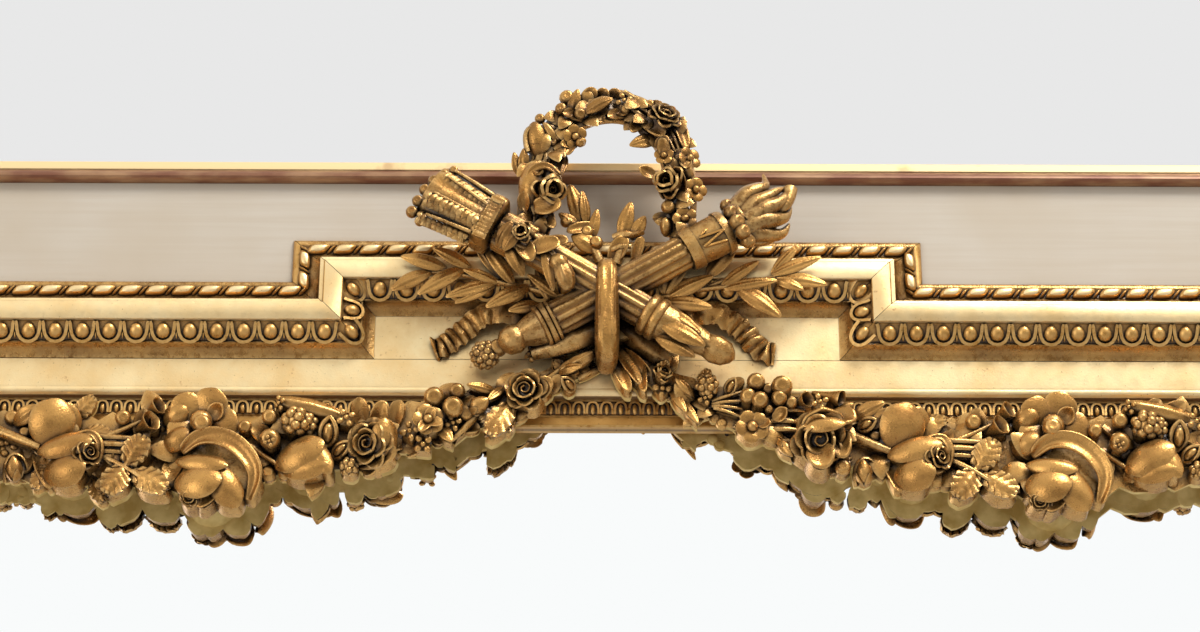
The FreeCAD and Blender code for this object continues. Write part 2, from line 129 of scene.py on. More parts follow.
def dressed(obj, material, replacedNode, smooth=35):
    pick(obj)
    bpy.ops.object.transform_apply(location=True, rotation=True, scale=True)
    obj.data.materials.clear()
    obj.data.materials.append(material)
    bpy.ops.object.shade_smooth_by_angle(angle=math.radians(smooth))
    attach(obj, "root")
    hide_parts(replacedNode)
    return obj


# the camera comes first: places on the carving are pixels of the photograph at a height p
view = {"place": (-5.25, -2068.8, -29.0), "lens": 90.0, "rise": 25.5, "roll": 0.2, "wide": 1200, "high": 632}
bpy.ops.object.camera_add(location=Vector(view["place"]) * mm)
camera = bpy.context.object
camera.data.sensor_width = 36
camera.data.lens = view["lens"]
camera.data.clip_end = 200
rise, roll = math.radians(90 + view["rise"]), math.radians(view["roll"])
look = Matrix.Rotation(rise, 4, "X") @ Matrix.Rotation(roll, 4, "Z")
camera.rotation_euler = look.to_euler()
bpy.context.scene.camera = camera


def seen(x, y, p):
    # the place at height p that the camera sees at pixel (x, y)
    focal = view["lens"] / camera.data.sensor_width * view["wide"]
    ray = look.to_3x3() @ Vector(((x - view["wide"] / 2) / focal, (view["high"] / 2 - y) / focal, -1))
    start = Vector(view["place"]) * mm
    return start + ray * ((faceY - p * mm - start.y) / ray.y)


def srgb(text):
    text = text.lstrip("#")
    values = [int(text[i:i + 2], 16) / 255 for i in (0, 2, 4)]
    return tuple(v / 12.92 if v <= 0.04045 else ((v + 0.055) / 1.055) ** 2.4 for v in values) + (1.0,)


def newMaterial(name):
    material = bpy.data.materials.new(name)
    material.use_nodes = True
    material.node_tree.nodes.clear()
    return material


def add(owner, kind, inputs=None, **settings):
    # one node with its settings; an input is a value or the socket that feeds it; gives the first live output
    node = owner.node_tree.nodes.new("ShaderNode" + kind)
    for key, value in settings.items():
        setattr(node, key, value)
    for socket, value in (inputs or {}).items():
        if isinstance(value, bpy.types.NodeSocket):
            owner.node_tree.links.new(value, node.inputs[socket])
        else:
            node.inputs[socket].default_value = value
    return next((out for out in node.outputs if out.enabled), None)


def perMetre(sizeMm):
    return 1000.0 / sizeMm


# depth is how far the grime and painted shade reach into the hollows in mm; the shares are of grime and
# painted shade in the hollows, of rubbing and painted highlight on the sharp edges, and of bare bole in the
# chips; relief is the strength of the bumps
goldLook = {
    "flatGilding": dict(gold="#f9dfaa", shade="#ecc88b", dirtAndShade="#5b3a17", depth=5, soilAndShade=0.85, rubAndHighlightShare=0.1,
                        rough=0.40, bole=0.5, relief=0.15),
    "eggGilding": dict(gold="#d7a359", shade="#b9853f", dirtAndShade="#2f1a09", depth=5, soilAndShade=1.0, rubAndHighlightShare=0.6,
                       rough=0.32, bole=0.4, relief=0.25),
    "carvedGilding": dict(gold="#d09c55", shade="#a27339", dirtAndShade="#1f1208", depth=10, soilAndShade=1.0, rubAndHighlightShare=0.55,
                          rough=0.26, bole=0.6, relief=0.4),
    "crestGilding": dict(gold="#bb8946", shade="#81592c", dirtAndShade="#1c1007", depth=14, soilAndShade=1.0, rubAndHighlightShare=0.6,
                         rough=0.27, bole=0.6, relief=0.5)}


def gilding(name, gold, shade, dirtAndShade, depth, soilAndShade, rubAndHighlightShare, rough, bole, relief):
    # water gilding over red bole on gesso: warm satin metal, rubbed pale with a painted highlight on the
    # sharp edges, brown with grime and painted shade in the hollows
    material = newMaterial(name)
    coords = add(material, "TexCoord").node.outputs["Object"]
    patches = add(material, "TexNoise", {"Vector": coords, "Scale": perMetre(38), "Detail": 4.0})
    specks = add(material, "TexNoise", {"Vector": coords, "Scale": perMetre(5), "Detail": 5.0,
                                        "Roughness": 0.65})
    fine = add(material, "TexNoise", {"Vector": coords, "Scale": perMetre(1.6), "Detail": 3.0})
    drift = add(material, "MapRange", {"Value": patches, "From Min": 0.38, "From Max": 0.68})
    tone = add(material, "Mix", {0: drift, 6: srgb(gold), 7: srgb(shade)}, data_type="RGBA")
    # pointiness turns the sharp edges paler: rubbed gilding and a painted highlight
    point = add(material, "NewGeometry").node.outputs["Pointiness"]
    edgeRubAndHighlight = add(material, "MapRange", {"Value": point, "From Min": 0.52, "From Max": 0.60, "To Max": rubAndHighlightShare})
    broken = add(material, "MapRange", {"Value": specks, "From Min": 0.36, "From Max": 0.56})
    rubAndHighlightMask = add(material, "Math", {0: edgeRubAndHighlight, 1: broken}, operation="MULTIPLY")
    rubbedAndHighlit = add(material, "Mix", {0: rubAndHighlightMask, 6: tone, 7: srgb("#e6bd7a")}, data_type="RGBA")
    chips = add(material, "MapRange", {"Value": specks, "From Min": 0.63, "From Max": 0.68, "To Max": bole})
    where = add(material, "MapRange", {"Value": patches, "From Min": 0.52, "From Max": 0.60})
    bare = add(material, "Math", {0: chips, 1: where}, operation="MULTIPLY")
    chipped = add(material, "Mix", {0: bare, 6: rubbedAndHighlit, 7: srgb("#8a4a2c")}, data_type="RGBA")
    flecks = add(material, "MapRange", {"Value": fine, "From Min": 0.67, "From Max": 0.72, "To Max": 0.55})
    flecked = add(material, "Mix", {0: flecks, 6: chipped, 7: srgb(dirtAndShade)}, data_type="RGBA")
    # ambient occlusion darkens the hollows to the dirt colour and makes them less metallic: grime and painted
    # shade
    openness = add(material, "AmbientOcclusion", {"Distance": depth * mm}, samples=8).node.outputs["AO"]
    grimeAndShade = add(material, "MapRange", {"Value": openness, "From Min": 0.90, "From Max": 0.34, "To Max": soilAndShade})
    colour = add(material, "Mix", {0: grimeAndShade, 6: flecked, 7: srgb(dirtAndShade)}, data_type="RGBA")
    lumps = add(material, "Math", {0: specks, 1: fine}, operation="ADD")
    bump = add(material, "Bump", {"Height": lumps, "Strength": relief, "Distance": 0.6 * mm})
    satin = add(material, "MapRange", {"Value": specks, "From Min": 0.3, "From Max": 0.7,
                                       "To Min": rough - 0.08, "To Max": rough + 0.14})
    metal = add(material, "MapRange", {"Value": grimeAndShade, "To Min": 0.80, "To Max": 0.1})
    shader = add(material, "BsdfPrincipled", {"Base Color": colour, "Metallic": metal,
                                              "Roughness": satin, "Normal": bump})
    add(material, "OutputMaterial", {"Surface": shader})
    return material


gildings = [gilding(name, **values) for name, values in goldLook.items()]
flatGilding, eggGilding, carvedGilding, crestGilding = gildings


def paintedBounceOchre():
    # the backs of the carvings, seen only in the mirror: bare gesso under a yellow ochre wash, kept pale as a
    # painted bounce light for the light that fills the gap behind the carvings
    material = newMaterial("paintedBounceOchre")
    coords = add(material, "TexCoord").node.outputs["Object"]
    brushed = add(material, "TexNoise", {"Vector": coords, "Scale": perMetre(14), "Detail": 4.0})
    patchy = add(material, "MapRange", {"Value": brushed, "From Min": 0.35, "From Max": 0.65})
    colour = add(material, "Mix", {0: patchy, 6: srgb("#e9cb84"), 7: srgb("#c39f55")}, data_type="RGBA")
    shader = add(material, "BsdfPrincipled", {"Base Color": colour, "Roughness": 0.75})
    add(material, "OutputMaterial", {"Surface": shader})
    return material


def wornBead():
    # the edge bead: gold leaf still bright on its flat, handled down to the red-brown bole on its round, with
    # grime and painted shade in its hollows
    material = newMaterial("wornBead")
    coords = add(material, "TexCoord").node.outputs["Object"]
    x, y, z = add(material, "SeparateXYZ", {0: coords}).node.outputs
    away = []
    for socket, half in ((x, halfWidth), (z, halfHeight)):
        size = add(material, "Math", {0: socket}, operation="ABSOLUTE")
        away.append(add(material, "Math", {0: half * mm, 1: size}, operation="SUBTRACT"))
    fromEdge = add(material, "Math", {0: away[0], 1: away[1]}, operation="MINIMUM")
    lengthwise = add(material, "Mapping", {"Vector": coords, "Scale": (0.25, 1, 0.25)})
    wear = add(material, "TexNoise", {"Vector": lengthwise, "Scale": perMetre(9), "Detail": 5.0})
    limit = add(material, "Math", {0: wear, 1: 1.6 * mm, 2: fromEdge}, operation="MULTIPLY_ADD")
    worn = add(material, "MapRange", {"Value": limit, "From Min": 7.6 * mm, "From Max": 8.6 * mm})
    gone = add(material, "MapRange", {"Value": wear, "From Min": 0.64, "From Max": 0.72, "To Max": 0.4})
    gold = add(material, "Mix", {0: gone, 6: srgb("#ffe0a6"), 7: srgb("#9a6240")}, data_type="RGBA")
    left = add(material, "MapRange", {"Value": wear, "From Min": 0.35, "From Max": 0.62})
    bole = add(material, "Mix", {0: left, 6: srgb("#a9805a"), 7: srgb("#7c4c33")}, data_type="RGBA")
    colour = add(material, "Mix", {0: worn, 6: gold, 7: bole}, data_type="RGBA")
    # ambient occlusion darkens the hollows: grime and painted shade
    openness = add(material, "AmbientOcclusion", {"Distance": 5 * mm}, samples=6).node.outputs["AO"]
    grimeAndShade = add(material, "MapRange", {"Value": openness, "From Min": 0.9, "From Max": 0.4, "To Max": 0.9})
    soiledAndShaded = add(material, "Mix", {0: grimeAndShade, 6: colour, 7: srgb("#4a3524")}, data_type="RGBA")
    metal = add(material, "MapRange", {"Value": worn, "To Min": 0.75, "To Max": 0.3})
    bump = add(material, "Bump", {"Height": wear, "Strength": 0.2, "Distance": 0.4 * mm})
    shader = add(material, "BsdfPrincipled", {"Base Color": soiledAndShaded, "Metallic": metal, "Roughness": 0.4,
                                              "Normal": bump})
    add(material, "OutputMaterial", {"Surface": shader})
    return material


def paint(name, along):
    # lean distemper paint brushed over pine: matt cream, streaked along the board, with bare wood behind,
    # grime and painted shade in the hollows, and painted shade on the inner edge
    material = newMaterial(name)
    coords = add(material, "TexCoord").node.outputs["Object"]
    lay = (0.03, 1, 1) if along == "x" else (1, 1, 0.03)
    brushed = add(material, "Mapping", {"Vector": coords, "Scale": lay})
    streaks = add(material, "TexNoise", {"Vector": brushed, "Scale": perMetre(3.2), "Detail": 4.0})
    clouds = add(material, "TexNoise", {"Vector": coords, "Scale": perMetre(120), "Detail": 3.0})
    stroke = add(material, "MapRange", {"Value": streaks, "From Min": 0.35, "From Max": 0.70})
    cream = add(material, "Mix", {0: stroke, 6: srgb("#d0c4b2"), 7: srgb("#cbbda9")}, data_type="RGBA")
    age = add(material, "MapRange", {"Value": clouds, "From Min": 0.45, "From Max": 0.75})
    aged = add(material, "Mix", {0: age, 6: cream, 7: srgb("#c8b8a1")}, data_type="RGBA")
    # ambient occlusion darkens the hollows: grime and painted shade
    openness = add(material, "AmbientOcclusion", {"Distance": 7 * mm}, samples=6).node.outputs["AO"]
    grimeAndShade = add(material, "MapRange", {"Value": openness, "From Min": 0.9, "From Max": 0.4, "To Max": 0.5})
    soiledAndShaded = add(material, "Mix", {0: grimeAndShade, 6: aged, 7: srgb("#8d7a60")}, data_type="RGBA")
    # the board's inner edge, down in the quirk under the fascia, is coloured dark brown as painted shade
    x, depth, z = add(material, "SeparateXYZ", {0: coords}).node.outputs
    away = add(material, "Math", {0: z if along == "x" else x}, operation="ABSOLUTE")
    sight = (halfHeight if along == "x" else halfWidth) - uBoard
    inside = add(material, "MapRange", {"Value": away, "From Min": (sight + 0.6) * mm,
                                        "From Max": (sight + 0.2) * mm})
    colour = add(material, "Mix", {0: inside, 6: soiledAndShaded, 7: srgb("#80603a")}, data_type="RGBA")
    back = add(material, "MapRange", {"Value": depth, "From Min": -2.2 * mm, "From Max": -1.6 * mm})
    grain = add(material, "TexNoise", {"Vector": brushed, "Scale": perMetre(4.5), "Detail": 4.0})
    year = add(material, "MapRange", {"Value": grain, "From Min": 0.35, "From Max": 0.65})
    pine = add(material, "Mix", {0: year, 6: srgb("#b98f5c"), 7: srgb("#8a6338")}, data_type="RGBA")
    both = add(material, "Mix", {0: back, 6: colour, 7: pine}, data_type="RGBA")
    bump = add(material, "Bump", {"Height": streaks, "Strength": 0.15, "Distance": 0.6 * mm})
    shader = add(material, "BsdfPrincipled", {"Base Color": both, "Roughness": 0.72, "Normal": bump})
    add(material, "OutputMaterial", {"Surface": shader})
    return material


def wood(name, pale, dark, grainMm, lay):
    # sawn and planed softwood or oak left bare: matt, streaked along the grain, browner with age
    material = newMaterial(name)
    coords = add(material, "TexCoord").node.outputs["Object"]
    lengthwise = add(material, "Mapping", {"Vector": coords, "Scale": lay})
    grain = add(material, "TexNoise", {"Vector": lengthwise, "Scale": perMetre(grainMm), "Detail": 4.0})
    year = add(material, "MapRange", {"Value": grain, "From Min": 0.35, "From Max": 0.65})
    colour = add(material, "Mix", {0: year, 6: srgb(pale), 7: srgb(dark)}, data_type="RGBA")
    bump = add(material, "Bump", {"Height": grain, "Strength": 0.3, "Distance": 0.4 * mm})
    shader = add(material, "BsdfPrincipled", {"Base Color": colour, "Roughness": 0.75, "Normal": bump})
    add(material, "OutputMaterial", {"Surface": shader})
    return material


def metalWork(name, colour, stain, rough):
    # forged or pressed iron fixings: dull grey metal with brown staining in patches
    material = newMaterial(name)
    coords = add(material, "TexCoord").node.outputs["Object"]
    patches = add(material, "TexNoise", {"Vector": coords, "Scale": perMetre(6), "Detail": 5.0})
    rust = add(material, "MapRange", {"Value": patches, "From Min": 0.45, "From Max": 0.65})
    tone = add(material, "Mix", {0: rust, 6: srgb(colour), 7: srgb(stain)}, data_type="RGBA")
    shine = add(material, "MapRange", {"Value": rust, "To Min": 0.95, "To Max": 0.3})
    bump = add(material, "Bump", {"Height": patches, "Strength": 0.2, "Distance": 0.2 * mm})
    shader = add(material, "BsdfPrincipled", {"Base Color": tone, "Metallic": shine, "Roughness": rough,
                                              "Normal": bump})
    add(material, "OutputMaterial", {"Surface": shader})
    return material


def mirrorGlass():
    # silvered plate glass: a clean, faintly cool reflection
    material = newMaterial("silveredGlass")
    shader = add(material, "BsdfPrincipled", {"Base Color": srgb("#fcfdfd"), "Metallic": 1.0,
                                              "Roughness": 0.015})
    add(material, "OutputMaterial", {"Surface": shader})
    return material


print("stage: materials ready")


def swell(a, b, rise, steps=6):
    # points after a up to b on a curve that rises (or sinks) by rise from the straight line
    ax, ay, bx, by = a[0], a[1], b[0], b[1]
    length = math.hypot(bx - ax, by - ay)
    out = []
    for i in range(1, steps + 1):
        t = i / steps
        k = 4 * t * (1 - t) * rise / length
        out.append((ax + (bx - ax) * t + k * (ay - by), ay + (by - ay) * t + k * (bx - ax)))
    return out


def section(*stretches):
    points = [stretches[0]]
    for stretch in stretches[1:]:
        if len(stretch) == 3:
            points += swell(points[-1], stretch[:2], stretch[2])
        else:
            points.append(stretch)
    return points


beadSection = section((0, 0), (0, 3.4), (0.8, 4), (6.4, 4), (7, 3.5), (17, 0, 6.7))
mouldSection = section(
    (0, 0), (band["fillet"], 5, 1.6), (6.3, 4.6), (13.2, 4.6), (wRope, 5.2), (22.6, 17.4, -2.6), (22.9, 19.4),
    (wCove - 0.5, 20.3), (wCove, 21.7), (wCove + 0.6, 22), (wFlat - 0.8, 22), (wFlat, 21.3), (wFlat, 18.6),
    (wFlat + 0.9, 17.2), (wEgg - 1.4, 9.9, 0.8), (wEgg - 1.2, 11.4), (wEgg, 11.6), (wMould - 0.6, 3.7, -1.8),
    (wMould, 3.4), (wMould, 0))
fasciaSection = section((0, 0), (0, 2.5), (0.5, 3), (band["fascia"] - 1, 3), (band["fascia"], 2.7),
                        (band["fascia"] + band["nose"], 0, 1.4))
sightSection = section(
    (0, -4.6), (band["quirk"], -4.6), (band["quirk"] + 0.5, -6.4), (wTongue - 1.2, -9, 0.7),
    (wTongue - 1.1, -7.8), (wTongue, -7.6), (wTongue + 0.4, -8.3), (wStrip - 1.6, -8.3), (wStrip - 1.4, -7.8),
    (wStrip, -8.2), (wStrip, -14), (4, -14), (4, -26), (0, -26))


def ringCorners(u):
    x, z = halfWidth - u, halfHeight - u
    return [Vector((-x, 0, -z)), Vector((-x, 0, z)), Vector((x, 0, z)), Vector((x, 0, -z))]


def stepCorners():
    x, z = halfWidth - uMould, halfHeight - uMould
    h, r = step["half"], step["rise"]
    return [Vector((-x, 0, -z)), Vector((-x, 0, z)), Vector((-h, 0, z)), Vector((-h, 0, z + r)),
            Vector((h, 0, z + r)), Vector((h, 0, z)), Vector((x, 0, z)), Vector((x, 0, -z))]


def sideAt(corners, i, w):
    # direction, inward direction and the two mitre points of side i, moved inwards by w
    count = len(corners)
    a, b = corners[i], corners[(i + 1) % count]
    before = (a - corners[i - 1]).normalized()
    t = (b - a).normalized()
    after = (corners[(i + 2) % count] - b).normalized()
    inwards = [Vector((d.z, 0, -d.x)) for d in (before, t, after)]
    return t, inwards[1], a + (inwards[0] + inwards[1]) * w, b + (inwards[1] + inwards[2]) * w, inwards


def mitredRun(name, corners, i, profile, width):
    # one side of a ring of mouldings, drawn in mm: its section extruded, then cut just short of the mitres
    t, n, a, b, inwards = sideAt(corners, i, 0)
    face = Vector((0, faceY / mm, 0))
    start = a - t * width
    run = drawn(name, [start + n * w + face + Vector((0, -p, 0)) for w, p in profile],
                faces=[list(range(len(profile)))])
    bpy.ops.object.mode_set(mode="EDIT")
    bpy.ops.mesh.select_all(action="SELECT")
    reach = t * ((b - a).length + 2 * width)
    bpy.ops.mesh.extrude_region_move(TRANSFORM_OT_translate={"value": tuple(reach)})
    for corner, other, sign in ((a, inwards[0], -1), (b, inwards[2], 1)):
        mitre = (n + other).normalized()
        cut = Vector((-mitre.z, 0, mitre.x))
        if cut.dot(t) * sign < 0:
            cut = -cut
        bpy.ops.mesh.select_all(action="SELECT")
        bpy.ops.mesh.bisect(plane_co=tuple(corner - cut * 0.2), plane_no=tuple(cut), use_fill=True,
                            clear_outer=True)
    bpy.ops.mesh.select_all(action="SELECT")
    bpy.ops.mesh.normals_make_consistent(inside=False)
    bpy.ops.object.mode_set(mode="OBJECT")
    run.data.transform(Matrix.Scale(mm, 4))
    return run


def kept(obj):
    # only the mesh of a master ornament is kept
    mesh = obj.data
    bpy.data.objects.remove(obj)
    return mesh


def sheet(name, lengthwise, across, shape, thick, smooth=1):
    # a leaf or petal: a flat grid pressed into shape(s, t), s from 0 to 1 along and t from -1 to 1 across
    pick()
    bpy.ops.mesh.primitive_grid_add(x_subdivisions=lengthwise, y_subdivisions=across, size=1)
    obj = bpy.context.object
    obj.name = name
    for v in obj.data.vertices:
        v.co = shape(v.co.x + 0.5, v.co.y * 2)
    tidyMesh(obj, 0.0005)
    applyModifier(obj, "SOLIDIFY", thickness=thick, offset=0)
    if smooth:
        applyModifier(obj, "SUBSURF", levels=smooth, render_levels=smooth)
    return obj


def ball(name, segments, rings, shape):
    # a berry or bud: a sphere pressed into shape(point)
    pick()
    bpy.ops.mesh.primitive_uv_sphere_add(segments=segments, ring_count=rings, radius=1)
    obj = bpy.context.object
    obj.name = name
    for v in obj.data.vertices:
        v.co = shape(v.co)
    return obj


def rodThrough(name, points, radii, sides=2, turns=3):
    # a stem: a smooth round rod through its points
    curve = bpy.data.curves.new(name, "CURVE")
    curve.dimensions = "3D"
    curve.bevel_depth = 1
    curve.bevel_resolution = sides - 1
    curve.resolution_u = turns
    curve.use_fill_caps = True
    spline = curve.splines.new("NURBS")
    spline.points.add(len(points) - 1)
    for point, place, r in zip(spline.points, points, radii):
        point.co = (*place, 1)
        point.radius = r
    spline.order_u = 3
    spline.use_endpoint_u = True
    obj = bpy.data.objects.new(name, curve)
    bpy.context.scene.collection.objects.link(obj)
    pick(obj)
    bpy.ops.object.convert(target="MESH")
    return tidyMesh(bpy.context.object)


def turned(profile, sides, flutes=0, depth=0, start=0, end=1, twist=0):
    # a turned bar along +X from its profile of (distance, radius), fluted from start to end
    edges = [(i, i + 1) for i in range(len(profile) - 1)]
    obj = drawn("turned", [(x, r, 0) for x, r in profile], edges=edges)
    bpy.ops.object.mode_set(mode="EDIT")
    bpy.ops.mesh.select_all(action="SELECT")
    bpy.ops.mesh.spin(steps=sides, angle=math.tau, center=(0, 0, 0), axis=(1, 0, 0))
    bpy.ops.object.mode_set(mode="OBJECT")
    tidyMesh(obj, 0.0002)
    for v in obj.data.vertices:
        if flutes and start <= v.co.x <= end:
            around = math.atan2(v.co.z, v.co.y) + twist * v.co.x
            k = 1 - depth * (1 - abs(math.cos(flutes * around / 2)))
            v.co.y *= k
            v.co.z *= k
    return kept(obj)


def copyOf(mesh, matrix):
    copy = mesh.copy()
    copy.transform(matrix)
    obj = bpy.data.objects.new(mesh.name, copy)
    bpy.context.scene.collection.objects.link(obj)
    return obj


def scaled(x, y, z):
    return Matrix.Diagonal((x, y, z, 1))


# each ornament is modelled once, growing along +X with its face to +Z, one unit long
def leafShape(s, t):
    wide = max(0.02, math.sin(math.pi * s ** 0.9)) ** 0.8
    rib = 0.09 * math.exp(-(t / 0.14) ** 2) - 0.06 * math.exp(-((abs(t) - 0.34) / 0.16) ** 2)
    return Vector((s, 0.56 * t * wide, wide * (rib - 0.10 * t * t) + 0.30 * math.sin(math.pi * s)))


def serratedShape(s, t):
    tooth = (s * 5.2) % 1.0
    wide = math.sin(math.pi * min(1, s * 0.94 + 0.03)) ** 0.62 * (1 + 0.08 * (tooth - 0.5))
    vein = 0.05 * math.cos(math.tau * (s * 5.2 - abs(t) * 1.1)) * abs(t) ** 0.5
    rib = 0.12 * math.exp(-(t / 0.13) ** 2)
    return Vector((s + 0.05 * abs(t), 0.5 * t * wide, vein + rib + 0.10 * math.sin(math.pi * s)))


def petalShape(s, t):
    wide = math.sin(math.pi * (0.13 + 0.72 * s)) ** 0.55
    curl = 0.32 * max(0, s - 0.72) ** 1.2 + 0.10 * max(0, abs(t) - 0.75)
    return Vector((s - 0.10 * t * t * s, 0.5 * t * wide, 0.26 * t * t * wide + 0.16 * s * s - 1.6 * curl))


def dishShape(s, t):
    # a broad round petal, hollow towards the viewer, with a rolled rim
    wide = math.sqrt(max(0.0004, 1 - (2 * s - 1) ** 2))
    r = min(1, math.hypot(2 * s - 1, t * wide))
    return Vector((s, 0.5 * t * wide, 0.28 * r * r - 0.4 * max(0, r - 0.86)))


def shellShape(s, t):
    # a broad petal domed towards the viewer
    wide = math.sqrt(max(0.0004, 1 - (2 * s - 1) ** 2)) * (0.9 + 0.2 * s)
    r = min(1, math.hypot(2 * s - 1, t * wide))
    return Vector((s, 0.5 * t * wide, 0.34 * (1 - r * r)))


def bellShape(s, t):
    around = math.pi * (t + 1)
    r = (0.10 + 0.34 * s ** 1.8) * (1 + 0.10 * s * s * math.cos(5 * around))
    return Vector((s, r * math.cos(around), r * math.sin(around)))


def budShape(c):
    x = (c.x + 1) / 2
    r = math.hypot(c.y, c.z)
    if r < 0.01:
        return Vector((x, 0, 0))
    twist = math.cos(3 * math.atan2(c.z, c.y) + 5 * x)
    fat = 0.42 * math.sin(math.pi * x ** 0.85) ** 0.8 * (1 + 0.06 * twist)
    return Vector((x, c.y / r * fat, c.z / r * fat))


masters = {
    "leaf": kept(sheet("laurelLeaf", 9, 8, leafShape, 0.20)),
    "leaflet": kept(sheet("leaflet", 7, 5, leafShape, 0.20, 0)),
    "serrated": kept(sheet("roseLeaf", 20, 9, serratedShape, 0.16, 0)),
    "petal": kept(sheet("petal", 5, 5, petalShape, 0.13)),
    "flake": kept(sheet("smallPetal", 7, 5, petalShape, 0.13, 0)),
    "dish": kept(sheet("dishPetal", 7, 6, dishShape, 0.11)),
    "shell": kept(sheet("shellPetal", 7, 6, shellShape, 0.12)),
    "bell": kept(sheet("bell", 5, 14, bellShape, 0.07)),
    "berry": kept(ball("berry", 14, 10, lambda c: Vector((c.x, c.y, c.z - 2 * max(0, c.z - 0.86))))),
    "fluted": turned([(0, 0), (0.02, 0.16), (0.2, 0.26), (0.5, 0.30), (0.8, 0.24), (0.97, 0.15), (1, 0)],
                     24, 7, 0.22, 0.1, 0.95)}


def whorl(count, radius, tilt, length, width, lift=0.0, start=0.0, kind="flake", dome=1.0):
    # petals round the +Z axis; tilt 0 lies flat, 90 stands up
    placed = []
    for i in range(count):
        turn = Matrix.Rotation(math.tau * i / count + start, 4, "Z")
        lean = Matrix.Rotation(-math.radians(tilt + 5 * math.sin(7 * i + start)), 4, "Y")
        place = turn @ Matrix.Translation((radius, 0, lift)) @ lean @ scaled(length, width, length * dome)
        placed.append(copyOf(masters[kind], place))
    return placed


def heart(turns, first, pitch, height, thick):
    # the rolled heart of a rose
    def shape(s, t):
        around = s * turns * math.tau
        r = (first + pitch * s * turns + 0.10 * pitch * math.sin(5 * around)) * (1 + 0.12 * t)
        return Vector((r * math.cos(around), r * math.sin(around), height * (1 - 0.35 * s) * (0.5 + 0.5 * t)))
    return sheet("heart", int(12 * turns), 3, shape, thick)


def roundBall(segments, rings, centre, size):
    # an egg-shaped ball from its centre and its three half widths
    return ball("ball", segments, rings, lambda c: Vector([m + v * r for m, v, r in zip(centre, c, size)]))


def core(radius, low, high):
    return roundBall(12, 8, (0, 0, (low + high) / 2), (radius, radius, (high - low) / 2))


masters["rose"] = kept(joined("openRose", [
    heart(1.9, 0.07, 0.22, 0.55, 0.10), core(0.5, -0.15, 0.22), *whorl(4, 0.34, 66, 0.62, 0.80, 0.02, 0.4),
    *whorl(5, 0.36, 38, 0.72, 0.86, -0.06, 1.0), *whorl(5, 0.30, 10, 0.82, 0.88, -0.14, 0.2)]))
masters["cup"] = kept(joined("cupRose", [
    heart(1.9, 0.05, 0.17, 0.95, 0.09), core(0.46, -0.30, 0.35), *whorl(3, 0.40, 84, 1.05, 1.05, 0.0, 0.3),
    *whorl(4, 0.42, 72, 1.05, 1.0, -0.10, 1.1), *whorl(3, 0.30, 40, 0.9, 0.8, -0.15, 0.6)]))
masters["flower"] = kept(joined("fivePetals", [
    core(0.32, -0.05, 0.5), *whorl(5, 0.16, 8, 0.86, 0.94, 0.0, 0.3, "shell", 0.4)]))
masters["lobe"] = kept(roundBall(10, 8, (0.62, 0, 0.05), (0.36, 0.30, 0.22)))
masters["floret"] = kept(joined("floret", [core(0.24, 0.0, 0.4), *[
    copyOf(masters["lobe"], Matrix.Rotation(math.tau * i / 4, 4, "Z")) for i in range(4)]]))


def sepals(count, length, width, lean, start=0.5):
    placed = []
    for i in range(count):
        turn = Matrix.Rotation(math.tau * i / count + start, 4, "X")
        place = turn @ Matrix.Translation((0.02, 0, 0.06)) @ Matrix.Rotation(-math.radians(lean), 4, "Y")
        placed.append(copyOf(masters["leaflet"], place @ scaled(length, width, length * 0.6)))
    return placed


def husk(side):
    return rodThrough("husk", [(0, 0, 0), (0.22, 0.32 * side, 0.1), (0.55, 0.36 * side, 0.12),
                                (0.85, 0.22 * side, 0.08), (1.02, 0, 0.02)], [0.10, 0.12, 0.12, 0.10, 0.06])


masters["bud"] = kept(joined("bud", [ball("budBody", 14, 10, budShape)] + sepals(4, 0.62, 0.34, 38)))
kernel = roundBall(12, 8, (0.48, 0, 0.16), (0.34, 0.22, 0.24))
masters["almond"] = kept(joined("almond", [kernel, husk(1), husk(-1)]))


def drupes(count, size):
    # a mulberry: small drupes packed on a ball
    drupe = kept(ball("drupe", 8, 6, lambda c: c * size))
    placed = [ball("core", 10, 8, lambda c: c * 0.78)]
    for i in range(count):
        z = 1 - 2 * (i + 0.5) / count
        r = math.sqrt(1 - z * z)
        around = i * 2.39996               # the golden angle
        at = Vector((r * math.cos(around), r * math.sin(around), z)) * 0.74
        placed.append(copyOf(drupe, Matrix.Translation(at)))
    return placed


masters["mulberry"] = kept(joined("mulberry", drupes(18, 0.38)))
masters["cone"] = kept(joined("cone", drupes(40, 0.25)))
facing = Matrix(((1, 0, 0, 0), (0, 0, -1, 0), (0, 1, 0, 0), (0, 0, 0, 1)))    # local up is outward


def between(a, b):
    # a frame at a whose X points to b and whose Z leans to the viewer
    x = (b - a).normalized()
    z = (outward - x * outward.dot(x)).normalized()
    return Matrix.Translation(a) @ Matrix((x, z.cross(x), z)).transposed().to_4x4(), (b - a).length


def grown(kind, base, tip, width, roll=0, thick=None):
    # a leaf, petal or bud from base to tip, each (pixel x, pixel y, p); width and thick in mm
    frameAt, length = between(seen(*base), seen(*tip))
    turn = Matrix.Rotation(math.radians(roll), 4, "X")
    return copyOf(masters[kind], frameAt @ turn @ scaled(length, width * mm, (thick or width) * mm))


def faced(kind, at, radius, turn=0, nod=0, spin=0, deep=None):
    # a flower or berry at (pixel x, pixel y, p), turned to the viewer's right and nodding down, in degrees
    tilt = Matrix.Rotation(math.radians(turn), 4, "Y") @ Matrix.Rotation(math.radians(nod), 4, "X")
    place = Matrix.Translation(seen(*at)) @ facing @ tilt @ Matrix.Rotation(math.radians(spin), 4, "Z")
    return copyOf(masters[kind], place @ scaled(radius * mm, radius * mm, (deep or radius) * mm))


